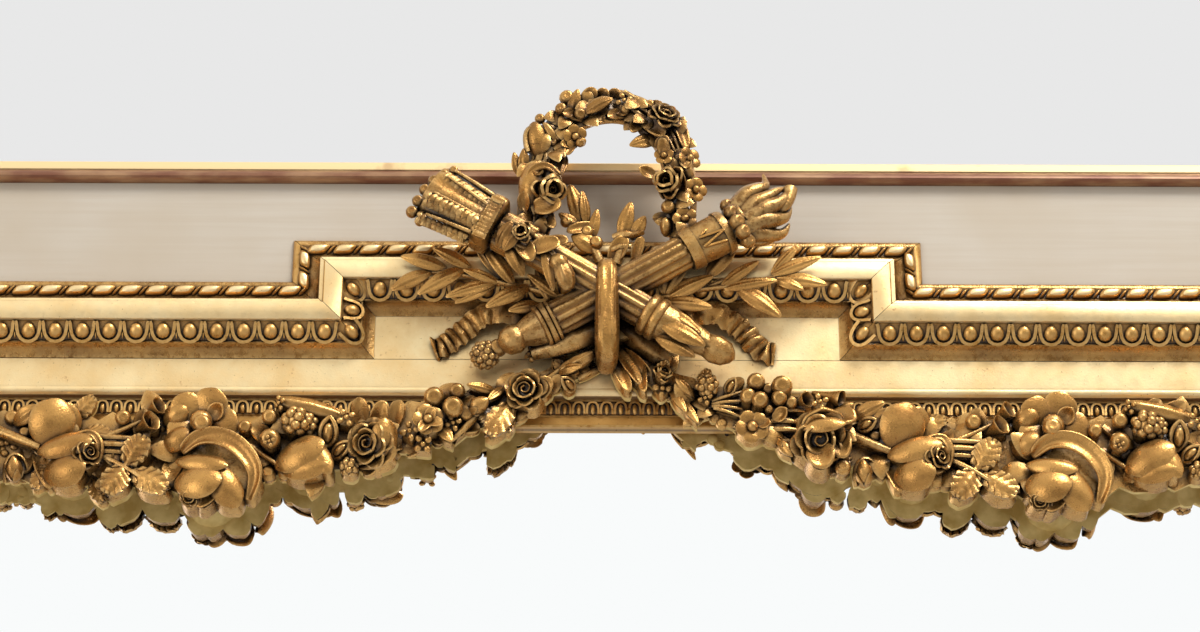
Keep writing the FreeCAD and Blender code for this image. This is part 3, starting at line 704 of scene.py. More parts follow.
def stem(radius, *places, thinner=0.35, power=1, sides=2, turns=3):
    # a stem through (pixel x, pixel y, p), thinner at its tip
    last = len(places) - 1
    radii = [radius * mm * (1 - thinner * (i / last) ** power) for i in range(len(places))]
    return rodThrough("stem", [seen(*place) for place in places], radii, sides, turns)


def lick(radius, *places):
    # a tongue of flame or a curl, drawn out to a point
    return stem(radius, *places, thinner=0.88, power=1.3, sides=3, turns=4)


def along(points):
    # a smooth path through its points, s from 0 to 1
    def at(s):
        k = min(s * (len(points) - 1), len(points) - 1.0001)
        i = int(k)
        before, after = points[max(0, i - 1)], points[min(len(points) - 1, i + 2)]
        t = k - i
        a, b = points[i], points[i + 1]
        ma, mb = (b - before) / 2, (after - a) / 2
        return (a * (2 * t ** 3 - 3 * t * t + 1) + ma * (t ** 3 - 2 * t * t + t)
                + b * (3 * t * t - 2 * t ** 3) + mb * (t ** 3 - t * t))
    return at


def acrossPath(at, s):
    run = (at(min(1, s + 0.01)) - at(max(0, s - 0.01))).normalized()
    return run.cross(outward).normalized()


def crescent(width, *places):
    # the rolled edge of a large petal: a hollow strip along its places, narrow at both ends
    at = along([seen(*place) for place in places])

    def shape(s, t):
        wide = math.sin(math.pi * (0.08 + 0.84 * s)) ** 0.6
        hollow = (0.24 * t * t - 0.08 * t) * width * mm
        return at(s) + acrossPath(at, s) * (t * wide * width / 2 * mm) + outward * hollow
    return sheet("crescent", 14, 6, shape, 2.6 * mm)


print("stage: ornaments modelled")


def course(corners, w, p, pitch, unit, cornerUnit=None, tilt=0.0):
    # copies of one carved unit along each side of a ring, at w in from its edge; one more on each mitre
    sides = []
    for i in range(len(corners)):
        t, n, a, b, inwards = sideAt(corners, i, w)
        count = max(1, round((b - a).length / pitch))
        fit = (b - a).length / count
        base = Matrix((t, -n, outward)).transposed().to_4x4() @ Matrix.Rotation(tilt, 4, "X")
        copies = []
        first = 1 if cornerUnit else 0.5
        for k in range(count - 1 if cornerUnit else count):
            at = (a + t * fit * (first + k)) * mm + Vector((0, faceY - p * mm, 0))
            copies.append(copyOf(unit, Matrix.Translation(at) @ base @ scaled(mm * fit / pitch, mm, mm)))
        if cornerUnit:
            m = (inwards[0] + n).normalized()
            across = Vector((-m.z, 0, m.x))
            across = across if across.dot(t) > 0 else -across
            base = Matrix((across, -m, outward)).transposed().to_4x4() @ Matrix.Rotation(tilt, 4, "X")
            at = a * mm + Vector((0, faceY - p * mm, 0))
            copies.append(copyOf(cornerUnit, Matrix.Translation(at) @ base @ Matrix.Scale(mm, 4)))
        sides.append(copies)
    return sides


def reliefLine(name, points, r, sides=4):
    # a raised line of few faces through points (x, y, z) in mm
    angles = [math.tau * (k + 0.5) / sides for k in range(sides)]
    ring = [(math.cos(angle), math.sin(angle)) for angle in angles]
    verts, faces = [], []
    for i, point in enumerate(points):
        before, after = Vector(points[max(0, i - 1)]), Vector(points[min(len(points) - 1, i + 1)])
        t = (after - before).normalized()
        side = Vector((-t.y, t.x, 0)).normalized()
        verts += [Vector(point) + side * (r * c) + Vector((0, 0, r * s)) for c, s in ring]
    for i in range(len(points) - 1):
        for k in range(sides):
            j = (k + 1) % sides
            faces.append((i * sides + k, i * sides + j, (i + 1) * sides + j, (i + 1) * sides + k))
    last = (len(points) - 1) * sides
    faces += [tuple(range(sides))[::-1], tuple(range(last, last + sides))]
    return tidyMesh(drawn(name, verts, faces), 0.001)


egg = {"pitch": 19.8, "halfWide": 5.5, "halfHigh": 6.3, "rise": 4.3, "rim": 1.7}
eggRim = [(-9.4, 7.4), (-8.6, 5.4), (-8.3, 1.6), (-7.5, -2.4), (-5.6, -5.6), (-3.0, -7.3), (0, -7.9)]
eggRim += [(-x, y) for x, y in eggRim[-2::-1]]
eggBody = ball("egg", 10, 6, lambda c: Vector((
    c.x * egg["halfWide"] * (1 - 0.12 * c.y), c.y * egg["halfHigh"] + 0.4, c.z * egg["rise"])))
dart = ball("dart", 6, 4, lambda c: Vector((c.x * 1.3 * (0.6 - 0.4 * c.y) + 9.9, c.y * 4.0 - 2.2, c.z * 1.8)))
eggShell = reliefLine("rim", [(x, y, 0.7) for x, y in eggRim], egg["rim"])
eggUnit = kept(joined("eggAndDart", [eggShell, eggBody, dart]))
cornerEgg = kept(joined("cornerEgg", [
    reliefLine("rim", [(x * 0.95, y * 1.15 - 0.6, 0.7) for x, y in eggRim[1:-1]], egg["rim"]),
    ball("egg", 10, 6, lambda c: Vector((c.x * 4.6, c.y * 6.4, c.z * egg["rise"])))]))

rope = {"pitch": 20.3, "bar": 16.4, "half": 4.2, "slant": 0.8, "rise": 3.7}
barBody = ball("bar", 12, 6, lambda c: Vector((
    math.copysign(abs(c.x) ** 0.6, c.x) * rope["bar"] / 2 + c.y * rope["half"] * rope["slant"],
    math.copysign(abs(c.y) ** 0.7, c.y) * rope["half"], c.z * rope["rise"])))
spindle = ball("spindle", 8, 6, lambda c: Vector((
    rope["pitch"] / 2 + c.x * 1.5 + c.y * rope["half"] * rope["slant"], c.y * rope["half"],
    c.z * 2.2 * (1 + 0.25 * math.sin(9 * c.y)))))
ropeUnit = kept(joined("ropeBar", [barBody, spindle]))

tongue = {"pitch": 10.4, "rim": 1.15}
arch = [(-4.3, -4.8), (-4.2, -0.8), (-3.7, 2.2), (-2.3, 4.2), (0, 4.9), (2.3, 4.2), (3.7, 2.2), (4.2, -0.8),
        (4.3, -4.8)]
tongueUnit = kept(joined("tongue", [
    reliefLine("arch", [(x, y, 0.6 - 0.05 * y) for x, y in arch], tongue["rim"]),
    ball("tongue", 8, 6, lambda c: Vector((c.x * 2.0, c.y * 4.4 - 0.8, c.z * 1.9)))]))


def within(value, limits):
    return limits[0] < value < limits[1]


# heights p on the mouldings, and the mm2 above which a face is the run's own and not an ornament's
moulded = {"flatFrom": 19, "cavetto": (2, 12), "ropeCrownHighlight": (8.5, 9.6), "largeFace": 60}
mouldNames = ("left", "top_left", "riser_left", "top_centre", "riser_right", "top_right", "right", "bottom")
sideNames = ("left", "top", "right", "bottom")
beadGilding = wornBead()
eggTilt = math.atan2(moulded["flatFrom"] - moulded["cavetto"][1], band["egg"])
eggs = course(stepCorners(), wFlat + 7.4, 15.2, egg["pitch"], eggUnit, cornerEgg, eggTilt)
ropes = course(stepCorners(), band["fillet"] + 4.2, 5.6, rope["pitch"], ropeUnit)
tongues = course(ringCorners(uBoard), band["quirk"] + 5.4, -5.4, tongue["pitch"], tongueUnit)
for i, side in enumerate(mouldNames):
    run = mitredRun("gilt_moulding_" + side, stepCorners(), i, mouldSection, wMould)
    run = joined("gilt_moulding_" + side, [run] + eggs[i] + ropes[i])
    dressed(run, eggGilding, "moulding_" + side, smooth=50)
    run.data.materials.append(flatGilding)
    run.data.materials.append(crestGilding)
    for face in run.data.polygons:        # the flat band is burnished bright; the rope's crown gets the bright gilding as a painted highlight and the cavetto the darker crest gilding as painted shade
        p = (faceY - face.center.y) / mm
        if face.area > moulded["largeFace"] * mm * mm:
            face.material_index = 1 if p > moulded["flatFrom"] else 2 if within(p, moulded["cavetto"]) else 0
        elif within(p, moulded["ropeCrownHighlight"]):
            face.material_index = 1
for i, side in enumerate(sideNames):
    run = mitredRun("gilt_fascia_" + side, ringCorners(uFascia), i, fasciaSection, uBoard - uFascia)
    dressed(run, flatGilding, "fascia_" + side)
    run = mitredRun("sight_tongues_" + side, ringCorners(uBoard), i, sightSection, wStrip)
    run = joined("sight_tongues_" + side, [run] + tongues[i])
    dressed(run, eggGilding, "sight_moulding_" + side, smooth=50)
    run = mitredRun("edge_bead_" + side, ringCorners(0), i, beadSection, uMould - band["field"])
    dressed(run, beadGilding, "bead_" + side)
print("stage: mouldings carved")


def laid(kind, place, angle, length, width, lean=0):
    # an ornament at a place, growing at an angle on the front: 0 to the right, 90 up
    turn = Matrix.Rotation(math.radians(angle), 4, "Z") @ Matrix.Rotation(-math.radians(lean), 4, "Y")
    size = scaled(length * mm, width * mm, width * mm)
    return copyOf(masters[kind], Matrix.Translation(place) @ facing @ turn @ size)


def berryAt(place, radius):
    return copyOf(masters["berry"], Matrix.Translation(place) @ facing @ Matrix.Scale(radius * mm, 4))


def carved(name, pieces, node, finish=carvedGilding):
    return dressed(joined(name, pieces), finish, node, smooth=60)


def rowsOf(carving):
    return [row for rows in carving.values() for row in rows]


drawnOut = {"stem": stem, "lick": lick, "crescent": crescent}


def arranged(rows, move=lambda place: (place, 1)):
    # a row is a kind with its places, each (pixel x, pixel y, p), and its sizes in mm and degrees:
    # two places are base and tip, with width, roll and thickness; one has radius, turn, nod, spin and depth;
    # a stem, lick or crescent has its radius or width first, then its line
    made = []
    for kind, *rest in rows:
        moved = [move(v) for v in rest if isinstance(v, tuple)]
        places, k = [place for place, _ in moved], moved[0][1]
        size, *others = [v for v in rest if not isinstance(v, tuple)]
        if kind in drawnOut:
            made.append(drawnOut[kind](size * k, *places))
        else:
            make = grown if len(places) == 2 else faced
            made.append(make(kind, *places, size * k, *others))
    return made


# both garlands are cast from one mould; these are the pieces of its left copy
garlandCast = {
    "disc petals": [
        ("shell", (44, 448, 16), (59, 399, 26), 34, 12, 20),
        ("shell", (50, 446, 8), (72, 404, 20), 28, 25, 14)],
    "side rose": [
        ("shell", (38, 453, 20), (92, 440, 30), 21, -10, 16), ("berry", (66, 460, 8), 17),
        ("shell", (44, 476, 16), (86, 466, 29), 27, 5, 18), ("rose", (87, 453, 24), 12, 35, 5, 40),
        ("crescent", 6, (78, 435, 26), (92, 434, 25), (100, 446, 24), (98, 462, 20)),
        ("petal", (37, 452, 8), (51, 490, 18), 12)],
    "hooded bud": [
        ("bud", (15, 482, 10), (13, 455, 20), 15),
        ("stem", 2.2, (6, 482, 8), (3, 468, 14), (12, 452, 16), (26, 458, 14), (28, 472, 10))],
    "thick stem": [
        ("stem", 4.6, (-2, 431, 12), (14, 437, 18), (40, 447, 18)),
        ("leaf", (15, 424, 12), (40, 406, 22), 12, 10), ("berry", (25, 433, 14), 4.5)],
    "stems": [
        ("stem", 2.6, (90, 437, 20), (118, 436, 22), (142, 440, 18)),
        ("stem", 2.6, (92, 444, 22), (118, 443, 24), (140, 447, 20)),
        ("stem", 2.4, (94, 451, 20), (118, 450, 22), (136, 455, 18)),
        ("stem", 2.4, (108, 436, 20), (122, 430, 20), (141, 421, 18))],
    "bells": [
        ("berry", (123, 418, 20), 6, 10, 10), ("bell", (136, 431, 14), (152, 420, 26), 18),
        ("bell", (144, 416, 12), (160, 405, 22), 16)],
    "smooth petals": [
        ("shell", (164, 424, 12), (188, 408, 22), 18, 15),
        ("shell", (163, 448, 12), (191, 433, 24), 20, -10)],
    "rose leaves": [
        ("serrated", (126, 467, 20), (145, 437, 23), 20), ("serrated", (126, 465, 20), (107, 494, 21), 21),
        ("serrated", (133, 472, 21), (166, 490, 22), 20),
        ("stem", 2, (98, 455, 18), (118, 461, 24), (142, 478, 24))],
    "ball flower": [
        ("flower", (202, 423, 16), 27, 0, 10, 50, 24), ("berry", (202, 424, 27), 7.2),
        ("dish", (210, 420, 16), (224, 404, 24), 14)],
    "great rose": [
        ("crescent", 14, (182, 453, 20), (197, 439, 25), (219, 437, 28), (241, 449, 28), (256, 473, 26),
         (249, 501, 18)), ("berry", (207, 482, 9), 20.5), ("shell", (176, 462, 22), (228, 466, 32), 17, -20),
        ("shell", (175, 484, 22), (222, 480, 33), 29, -8, 20),
        ("shell", (209, 464, 28), (238, 507, 23), 24, 0, 18), ("rose", (191, 496, 25), 8.5, -20, 30, 25),
        ("petal", (214, 492, 24), (196, 507, 24), 12)],
    "berries and hip": [
        ("berry", (245, 427, 20), 5.4, 0, 15), ("berry", (270, 417, 20), 6.1, 0, 15),
        ("berry", (270, 439, 24), 7.8, 0, 20), ("floret", (269, 441, 31), 5, 0, 20, 20),
        ("stem", 2.4, (250, 446, 16), (262, 454, 18), (278, 465, 18))],
    "trumpet": [
        ("fluted", (344, 418, 14), (276, 401, 22), 27, 0, 26), ("floret", (280, 403, 26), 6.5, -50, 10, 10)],
    "mulberries": [("mulberry", (296, 421, 26), 10.5), ("mulberry", (306, 424, 22), 8.5)],
    "tulip": [
        ("berry", (304, 458, 10), 15), ("shell", (276, 468, 18), (324, 442, 30), 27, -12, 18),
        ("shell", (284, 474, 18), (328, 464, 30), 17, 10, 14),
        ("shell", (308, 438, 24), (330, 474, 28), 16, 0, 14)],
    "drop and blossom": [
        ("almond", (327, 447, 14), (330, 417, 26), 17), ("floret", (346, 418, 24), 8, 10, 0, 30),
        ("almond", (333, 458, 14), (350, 442, 24), 13), ("mulberry", (349, 467, 20), 7)]}
leftInner = {
    "inner rose": [
        ("petal", (376, 430, 14), (384, 400, 26), 14), ("rose", (371, 444, 24), 18, -25, 12, 60),
        ("shell", (382, 462, 20), (385, 418, 35), 21, 25), ("petal", (352, 458, 12), (398, 450, 28), 22, 25)],
    "star": [
        ("flower", (428, 420, 24), 12, 10, 5, 20), ("petal", (428, 421, 24), (434, 407, 30), 9),
        ("petal", (428, 421, 24), (443, 424, 30), 9), ("petal", (428, 421, 24), (420, 432, 30), 9)],
    "blossoms": [
        ("floret", (410, 431, 22), 8, -10, 10, 10), ("floret", (423, 444, 20), 8, 0, 20, 40),
        ("floret", (453, 423, 18), 7, 0, 10, 20), ("leaf", (440, 428, 14), (452, 442, 22), 9)],
    "cherries": [
        ("berry", (434, 397, 22), 7.8, 0, 20), ("berry", (457, 391, 18), 6.2, 0, 20),
        ("berry", (453, 407, 24), 8, 0, 15), ("berry", (466, 413, 16), 6.2, 0, 15)],
    "fig": [
        ("bud", (470, 412, 16), (489, 398, 26), 16),
        ("stem", 3, (476, 416, 14), (466, 428, 16), (452, 440, 14))],
    "leaves": [
        ("leaf", (496, 392, 12), (467, 385, 22), 7.5), ("leaf", (504, 388, 12), (488, 400, 22), 6.5),
        ("serrated", (512, 402, 14), (489, 436, 22), 19), ("serrated", (505, 410, 12), (481, 420, 18), 12),
        ("serrated", (508, 412, 12), (507, 432, 18), 11)],
    "open rose": [
        ("rose", (526, 391, 20), 15.5, -10, 5, 70), ("petal", (532, 396, 14), (552, 378, 24), 16, 20)],
    "hooded drop": [
        ("stem", 3, (543, 382, 12), (553, 375, 14), (564, 366, 14)),
        ("almond", (574, 391, 12), (562, 378, 22), 12)],
    "fluted bud": [
        ("fluted", (560, 371, 14), (595, 353, 24), 19), ("leaf", (559, 373, 14), (582, 366, 26), 8),
        ("stem", 2.8, (578, 378, 10), (590, 372, 12), (603, 366, 10))]}
rightInner = {
    "narrow petals": [
        ("petal", (617, 350, 14), (641, 386, 22), 11, -20), ("petal", (612, 356, 14), (630, 393, 22), 11),
        ("petal", (622, 350, 12), (652, 376, 20), 10, 20), ("petal", (641, 363, 14), (646, 392, 26), 11, 40)],
    "trumpet": [("cup", (661, 377, 20), 9, 20, -15), ("floret", (662, 388, 18), 8, 15, 20)],
    "wrapped bud": [
        ("bud", (694, 400, 12), (674, 377, 22), 11), ("leaf", (670, 388, 12), (686, 412, 20), 7),
        ("leaf", (681, 400, 12), (698, 423, 20), 6.5)],
    "acorn": [
        ("mulberry", (707, 385, 20), 8.6, 0, 0, 30), ("floret", (705, 398, 20), 6, 0, 15, 20),
        ("almond", (727, 395, 12), (735, 378, 20), 11)],
    "stalks": [
        ("stem", 1.6, (712, 401, 14), (726, 396, 16), (742, 392, 14)),
        ("stem", 1.6, (712, 404, 14), (726, 401, 16), (744, 401, 14)),
        ("stem", 1.6, (712, 406, 14), (728, 406, 16), (742, 409, 14)),
        ("stem", 1.6, (714, 408, 14), (728, 411, 16), (741, 417, 14))],
    "berries": [
        ("berry", (756, 382, 20), 7, 0, 15), ("berry", (782, 386, 22), 8, 0, 15),
        ("berry", (748, 396, 22), 6, 0, 15), ("berry", (760, 400, 24), 6.4, 0, 15),
        ("berry", (779, 398, 22), 6, 0, 15), ("berry", (768, 389, 18), 4.6, 0, 15),
        ("berry", (791, 403, 18), 5, 0, 15)],
    "floret": [
        ("flower", (752, 427, 20), 12.5, 5, 10, 30), ("dish", (757, 424, 18), (772, 424, 24), 9),
        ("dish", (774, 421, 14), (788, 408, 22), 11), ("berry", (769, 409, 20), 3.2)],
    "stems": [
        ("stem", 2.4, (770, 411, 14), (787, 409, 18), (804, 411, 14)),
        ("stem", 2.4, (772, 421, 14), (787, 420, 18), (803, 423, 14)),
        ("stem", 2.4, (770, 430, 14), (786, 428, 18), (800, 431, 14))],
    "tubes": [
        ("bell", (795, 405, 12), (808, 399, 24), 14), ("bell", (812, 393, 12), (842, 399, 22), 15),
        ("floret", (820, 402, 24), 7, 0, 10, 20)],
    "leaf bud": [
        ("bud", (840, 414, 14), (854, 403, 22), 12), ("leaf", (853, 419, 14), (884, 403, 22), 11),
        ("almond", (858, 430, 14), (876, 420, 22), 13)],
    "rose": [
        ("rose", (820, 440, 22), 21, -5, 20, 40), ("dish", (821, 440, 14), (820, 405, 30), 34, 10),
        ("shell", (797, 428, 26), (846, 424, 36), 17, -30),
        ("petal", (826, 424, 20), (858, 420, 30), 24, -30), ("petal", (838, 432, 22), (846, 459, 30), 18, 20),
        ("petal", (818, 446, 24), (826, 470, 32), 22, 10)],
    "drops": [
        ("berry", (843, 468, 20), 6), ("bud", (778, 440, 12), (793, 457, 20), 11),
        ("bud", (792, 442, 12), (807, 459, 20), 11),
        ("stem", 1.8, (768, 432, 14), (776, 438, 14), (786, 444, 12))]}

# (x, g, half height): where the garland's middle runs, g below the sight edge, from the centre to the corner
garlandPath = [(11, -52, 7), (30, -38, 11), (61, -18, 17), (90, -8, 18), (116, -2, 20), (167, 16, 27),
               (224, 22, 30), (288, 32, 38), (340, 30, 35), (391, 27, 34), (443, 24, 31), (500, 12, 27),
               (560, -10, 21), (600, -30, 14), (622.75, -44, 9)]
photoScale = {"acrossMm": 0.75, "upMm": 0.831, "middle": 607, "frameTop": 163}
# the right garland is the cast moved by shift; the pieces past these pixels are used again, moved outwards
castUse = {"shift": (850, 4), "outwards": 362, "leftFrom": 138, "rightTo": 215}
filling = {"count": 150, "start": 14, "length": 606, "leaf": (25, 15), "berry": 6.5, "floret": 11}


def garlandAt(x):
    # middle and half height of the garland at x mm from the centre line
    x = min(max(abs(x), garlandPath[0][0]), garlandPath[-1][0])
    for (xa, ga, ha), (xb, gb, hb) in zip(garlandPath, garlandPath[1:]):
        if x <= xb:
            t = (x - xa) / (xb - xa)
            return ga + (gb - ga) * t, ha + (hb - ha) * t


def tapering(shift):
    # carries a piece of the cast out towards a corner: it follows the garland's line and shrinks with it
    def move(place):
        x, y, p = place
        fromX = (x - photoScale["middle"]) * photoScale["acrossMm"]
        toX = (x + shift - photoScale["middle"]) * photoScale["acrossMm"]
        ga, ha = garlandAt(fromX)
        gb, hb = garlandAt(toX)
        k = min(1, 0.25 + 0.75 * hb / ha)
        middle = photoScale["frameTop"] + (uSight + ga) / photoScale["upMm"]
        return (x + shift, middle + (y - middle) * k + (gb - ga) / photoScale["upMm"], 3 + (p - 3) * k), k
    return move


def middleOf(row):
    acrosses = [v[0] for v in row if isinstance(v, tuple)]
    return sum(acrosses) / len(acrosses)


def understory(side):
    # small leaves, petals and berries that fill the hollows between the large pieces
    made = []
    for k in range(filling["count"]):
        x = filling["start"] + filling["length"] * (k + random.random()) / filling["count"]
        g, half = garlandAt(x)
        g += random.uniform(-0.8, 0.8) * half
        place = spot(side * x, random.uniform(4, 11), uSight + g)
        size = 0.45 + 0.55 * half / 38
        kind = random.choice(("leaflet", "leaflet", "flake", "flake", "serrated", "berry", "floret"))
        if kind == "berry":
            made.append(berryAt(place, filling["berry"] * size))
        elif kind == "floret":
            wide = filling["floret"] * size
            made.append(laid(kind, place, random.uniform(0, 90), wide, wide))
        else:
            length, width = filling["leaf"]
            angle, lean = random.uniform(0, 360), random.uniform(5, 30)
            made.append(laid(kind, place, angle, length * size, width * size, lean))
    return made


def hull(points):
    # the outline round a set of (x, z)
    points = sorted(set(points))
    outline = []
    for row in (points, points[::-1]):
        start = len(outline)
        for point in row:
            while len(outline) > start + 1:
                (ax, az), (bx, bz) = outline[-2], outline[-1]
                if (bx - ax) * (point[1] - az) - (bz - az) * (point[0] - ax) > 0:
                    break
                outline.pop()
            outline.append(point)
        outline.pop()
    return outline


def walls(first, n):
    # the faces between a ring of n points and the next ring
    return [(first + k, first + (k + 1) % n, first + n + (k + 1) % n, first + n + k) for k in range(n)]


def grounds(pieces):
    # each piece is carved from a flat-backed block, which fills the space behind it and shows in the mirror
    points, faces = [], []
    for piece in pieces:
        corners = [v.co for v in piece.data.vertices]
        outline = hull([(round(v.x, 3), round(v.z, 3)) for v in corners])
        n, first = len(outline), len(points)
        centre = Vector((sum(x for x, z in outline), 0, sum(z for x, z in outline))) / n
        level = sum(v.y for v in corners) / len(corners)
        back = faceY - random.uniform(3.3, 4.2) * mm
        for share, rise in ((0.97, 0), (0.93, 0.3), (0.72, 0.75)):
            out = Vector((0, back + rise * (level - back), 0))
            points += [centre + (Vector((x, 0, z)) - centre) * share + out for x, z in outline]
        faces += [tuple(range(first, first + n)), tuple(range(first + 3 * n - 1, first + 2 * n - 1, -1))]
        faces += walls(first, n) + walls(first + n, n)
    return tidyMesh(drawn("grounds", points, faces), 0.0000001)


def backPlate(side):
    # the wavy-edged board under the carving
    upper, lower = [], []
    for k in range(61):
        x = filling["start"] + 600 * k / 60
        g, half = garlandAt(x)
        wave = 0.78 + 0.12 * math.sin(x * 0.23) + 0.06 * math.sin(x * 0.61)
        upper.append(spot(side * x, 4.4, uSight + g - half * wave))
        lower.append(spot(side * x, 4.4, uSight + g + half * wave))
    outline = upper + lower[::-1]
    front = [v + outward * 4 * mm for v in outline]
    n = len(outline)
    faces = [tuple(range(n)), tuple(range(2 * n - 1, n - 1, -1))] + walls(0, n)
    return tidyMesh(drawn("backPlate", outline + front, faces))


cast = rowsOf(garlandCast)
across, down = castUse["shift"]
outerLeft = [row for row in cast if middleOf(row) > castUse["leftFrom"]]
outerRight = [row for row in cast if middleOf(row) < castUse["rightTo"]]
left = (arranged(cast + rowsOf(leftInner)) + arranged(outerLeft, tapering(-castUse["outwards"]))
        + understory(-1))
carvings = [carved("garland_left_carving", left + [grounds(left), backPlate(-1)], "garland_left")]
right = (arranged(cast, lambda place: ((place[0] + across, place[1] + down, place[2]), 1))
         + arranged(rowsOf(rightInner)) + arranged(outerRight, tapering(across + castUse["outwards"]))
         + understory(1))
carvings.append(carved("garland_right_carving", right + [grounds(right), backPlate(1)], "garland_right"))
paintedBounceBacks = paintedBounceOchre()
# the backs of the blocks and their sides near the back take the pale ochre, a painted bounce light, so their
# reflection reads bright
for carving in carvings:
    carving.data.materials.append(paintedBounceBacks)
    for face in carving.data.polygons:
        depth = (faceY - face.center.y) / mm
        if face.normal.y > 0.3 and depth < 6 or face.normal.y > -0.3 and depth < 6.5:
            face.material_index = 1
print("stage: garlands carved")


# turned and carved pieces of the crest, one unit long and one unit across
def featherShape(s, t):
    barb = 0.07 * math.sin(math.tau * (s * 9 + abs(t) * 0.9)) * (1 - 0.3 * abs(t))
    return Vector((s, 0.5 * t, 0.30 * (1 - t * t) ** 0.5 + barb))


def strapShape(c):
    # the tie band: a strap with rounded ends and grooves down its face
    groove = 0.03 * abs(math.cos(3.0 * math.pi * c.y)) if c.z > 0.2 else 0
    blunt = [math.copysign(abs(v) ** 0.55, v) for v in (c.x, c.y, c.z)]
    return Vector((blunt[0] * 0.5 + 0.5, blunt[1] * 0.5, blunt[2] * 0.5 - groove))


def boxShape(c):
    return Vector([math.copysign(abs(v) ** 0.35, v) * 0.5 for v in c]) + Vector((0.5, 0, 0))


def panelShape(s, t):
    # a sunk panel of small reeds inside a raised border
    border = abs(t) > 0.62 or s < 0.07 or s > 0.93
    return Vector((s, 0.5 * t, 0.16 if border else 0.03 + 0.05 * math.cos(math.tau * 11 * s)))


podProfile = [(0, 0), (0.04, 0.20), (0.2, 0.40), (0.45, 0.5), (0.75, 0.42), (0.93, 0.2), (1, 0)]
masters |= {
    "reeds": turned([(0, 0), (0, 0.46), (0.03, 0.5), (0.97, 0.5), (1, 0.46), (1, 0)], 66, 11, 0.2, 0.01,
                    0.99),
    "ring": turned([(0, 0), (0, 0.44), (0.12, 0.5), (0.4, 0.5), (0.5, 0.46), (0.6, 0.5), (0.88, 0.5),
                    (1, 0.44), (1, 0)], 32),
    "taper": turned([(0, 0), (0, 0.5), (0.5, 0.44), (1, 0.30), (1, 0)], 40, 8, 0.10, 0.05, 0.95),
    "pod": turned(podProfile, 30, 6, 0.10, 0.1, 0.8),
    "flame": turned(podProfile, 42, 7, 0.30, 0.02, 0.98, 1.6),
    "feather": kept(sheet("feather", 30, 5, featherShape, 0.10, 0)),
    "strap": kept(ball("strap", 32, 24, strapShape)),
    "box": kept(ball("box", 16, 12, boxShape)),
    "panel": kept(sheet("reededPanel", 67, 9, panelShape, 0.20, 0)),
    "barrel": turned([(0, 0), (0, 0.5), (0.5, 0.49), (1, 0.46), (1, 0)], 40),
    "sheaf": turned([(0, 0), (0, 0.42), (0.5, 0.47), (0.9, 0.5), (1, 0.44), (1.02, 0)],
                    54, 9, 0.12, 0.02, 0.9)}


quiverPieces = {
    "head": [("sheaf", (492, 225, 46), (431, 192, 47), 49, 0, 34)],
    "feathers": [
        ("feather", (487, 206, 57), (444, 179, 58), 12.5, -12),
        ("feather", (476, 222, 60), (427, 198, 61), 13),
        ("feather", (466, 238, 55), (419, 217, 56), 11.5, 14)],
    "arrow shafts": [
        ("stem", 2.3, (494, 196, 56), (474, 182, 58), (455, 171, 58)),
        ("stem", 1.8, (488, 205, 61), (468, 190, 63), (448, 176, 63)),
        ("stem", 1.8, (479, 217, 62), (457, 204, 64), (434, 192, 64)),
        ("stem", 1.8, (471, 232, 60), (450, 223, 62), (426, 214, 62)),
        ("stem", 2.3, (468, 242, 53), (444, 232, 55), (418, 222, 55))],
    "knobs": [
        ("berry", (454, 171, 54), 4), ("berry", (444, 175, 56), 4.2), ("berry", (434, 181, 57), 4.6),
        ("berry", (425, 190, 57), 4.6), ("berry", (418, 201, 56), 4.6), ("berry", (412, 212, 54), 4.8),
        ("berry", (420, 221, 51), 4.2)],
    "collar": [
        ("box", (481, 219, 46), (498, 229, 45.5), 41, 0, 35),
        ("panel", (499, 199, 62), (478, 238, 62), 10.5)],
    "throat": [
        ("leaf", (498, 246, 52), (512, 222, 60), 11), ("leaf", (504, 250, 54), (520, 228, 58), 10),
        ("reeds", (500, 230, 45), (530, 247, 43), 32)],
    "body": [("reeds", (530, 247, 43), (648, 314, 36), 26)],
    "thistle": [
        ("fluted", (560, 262, 56), (569, 290, 53), 27, 0, 20), ("pod", (553, 256, 53), (564, 272, 55), 16),
        ("leaf", (544, 246, 54), (553, 290, 52), 9),
        ("stem", 3, (534, 236, 54), (546, 244, 56), (556, 258, 55))],
    "blossom": [
        ("cup", (523, 234, 55), 10, -10, 10, 20), ("petal", (530, 250, 54), (561, 242, 59), 14),
        ("petal", (520, 240, 52), (532, 262, 56), 14), ("leaf", (508, 244, 50), (523, 276, 48), 12)],
    "cap": [("ring", (645, 312, 36), (662, 322, 35), 33), ("taper", (660, 320, 35), (708, 346, 32), 29)],
    "cap leaves": [
        ("leaf", (662, 312, 40), (700, 334, 44), 12), ("leaf", (662, 325, 44), (704, 346, 45), 13),
        ("leaf", (657, 338, 40), (694, 357, 42), 12)],
    "pods": [
        ("pod", (699, 341, 32), (735, 359, 31), 23), ("pod", (611, 318, 14), (672, 366, 10), 22),
        ("stem", 5, (600, 312, 12), (622, 326, 14), (648, 344, 14), (668, 361, 10))]}
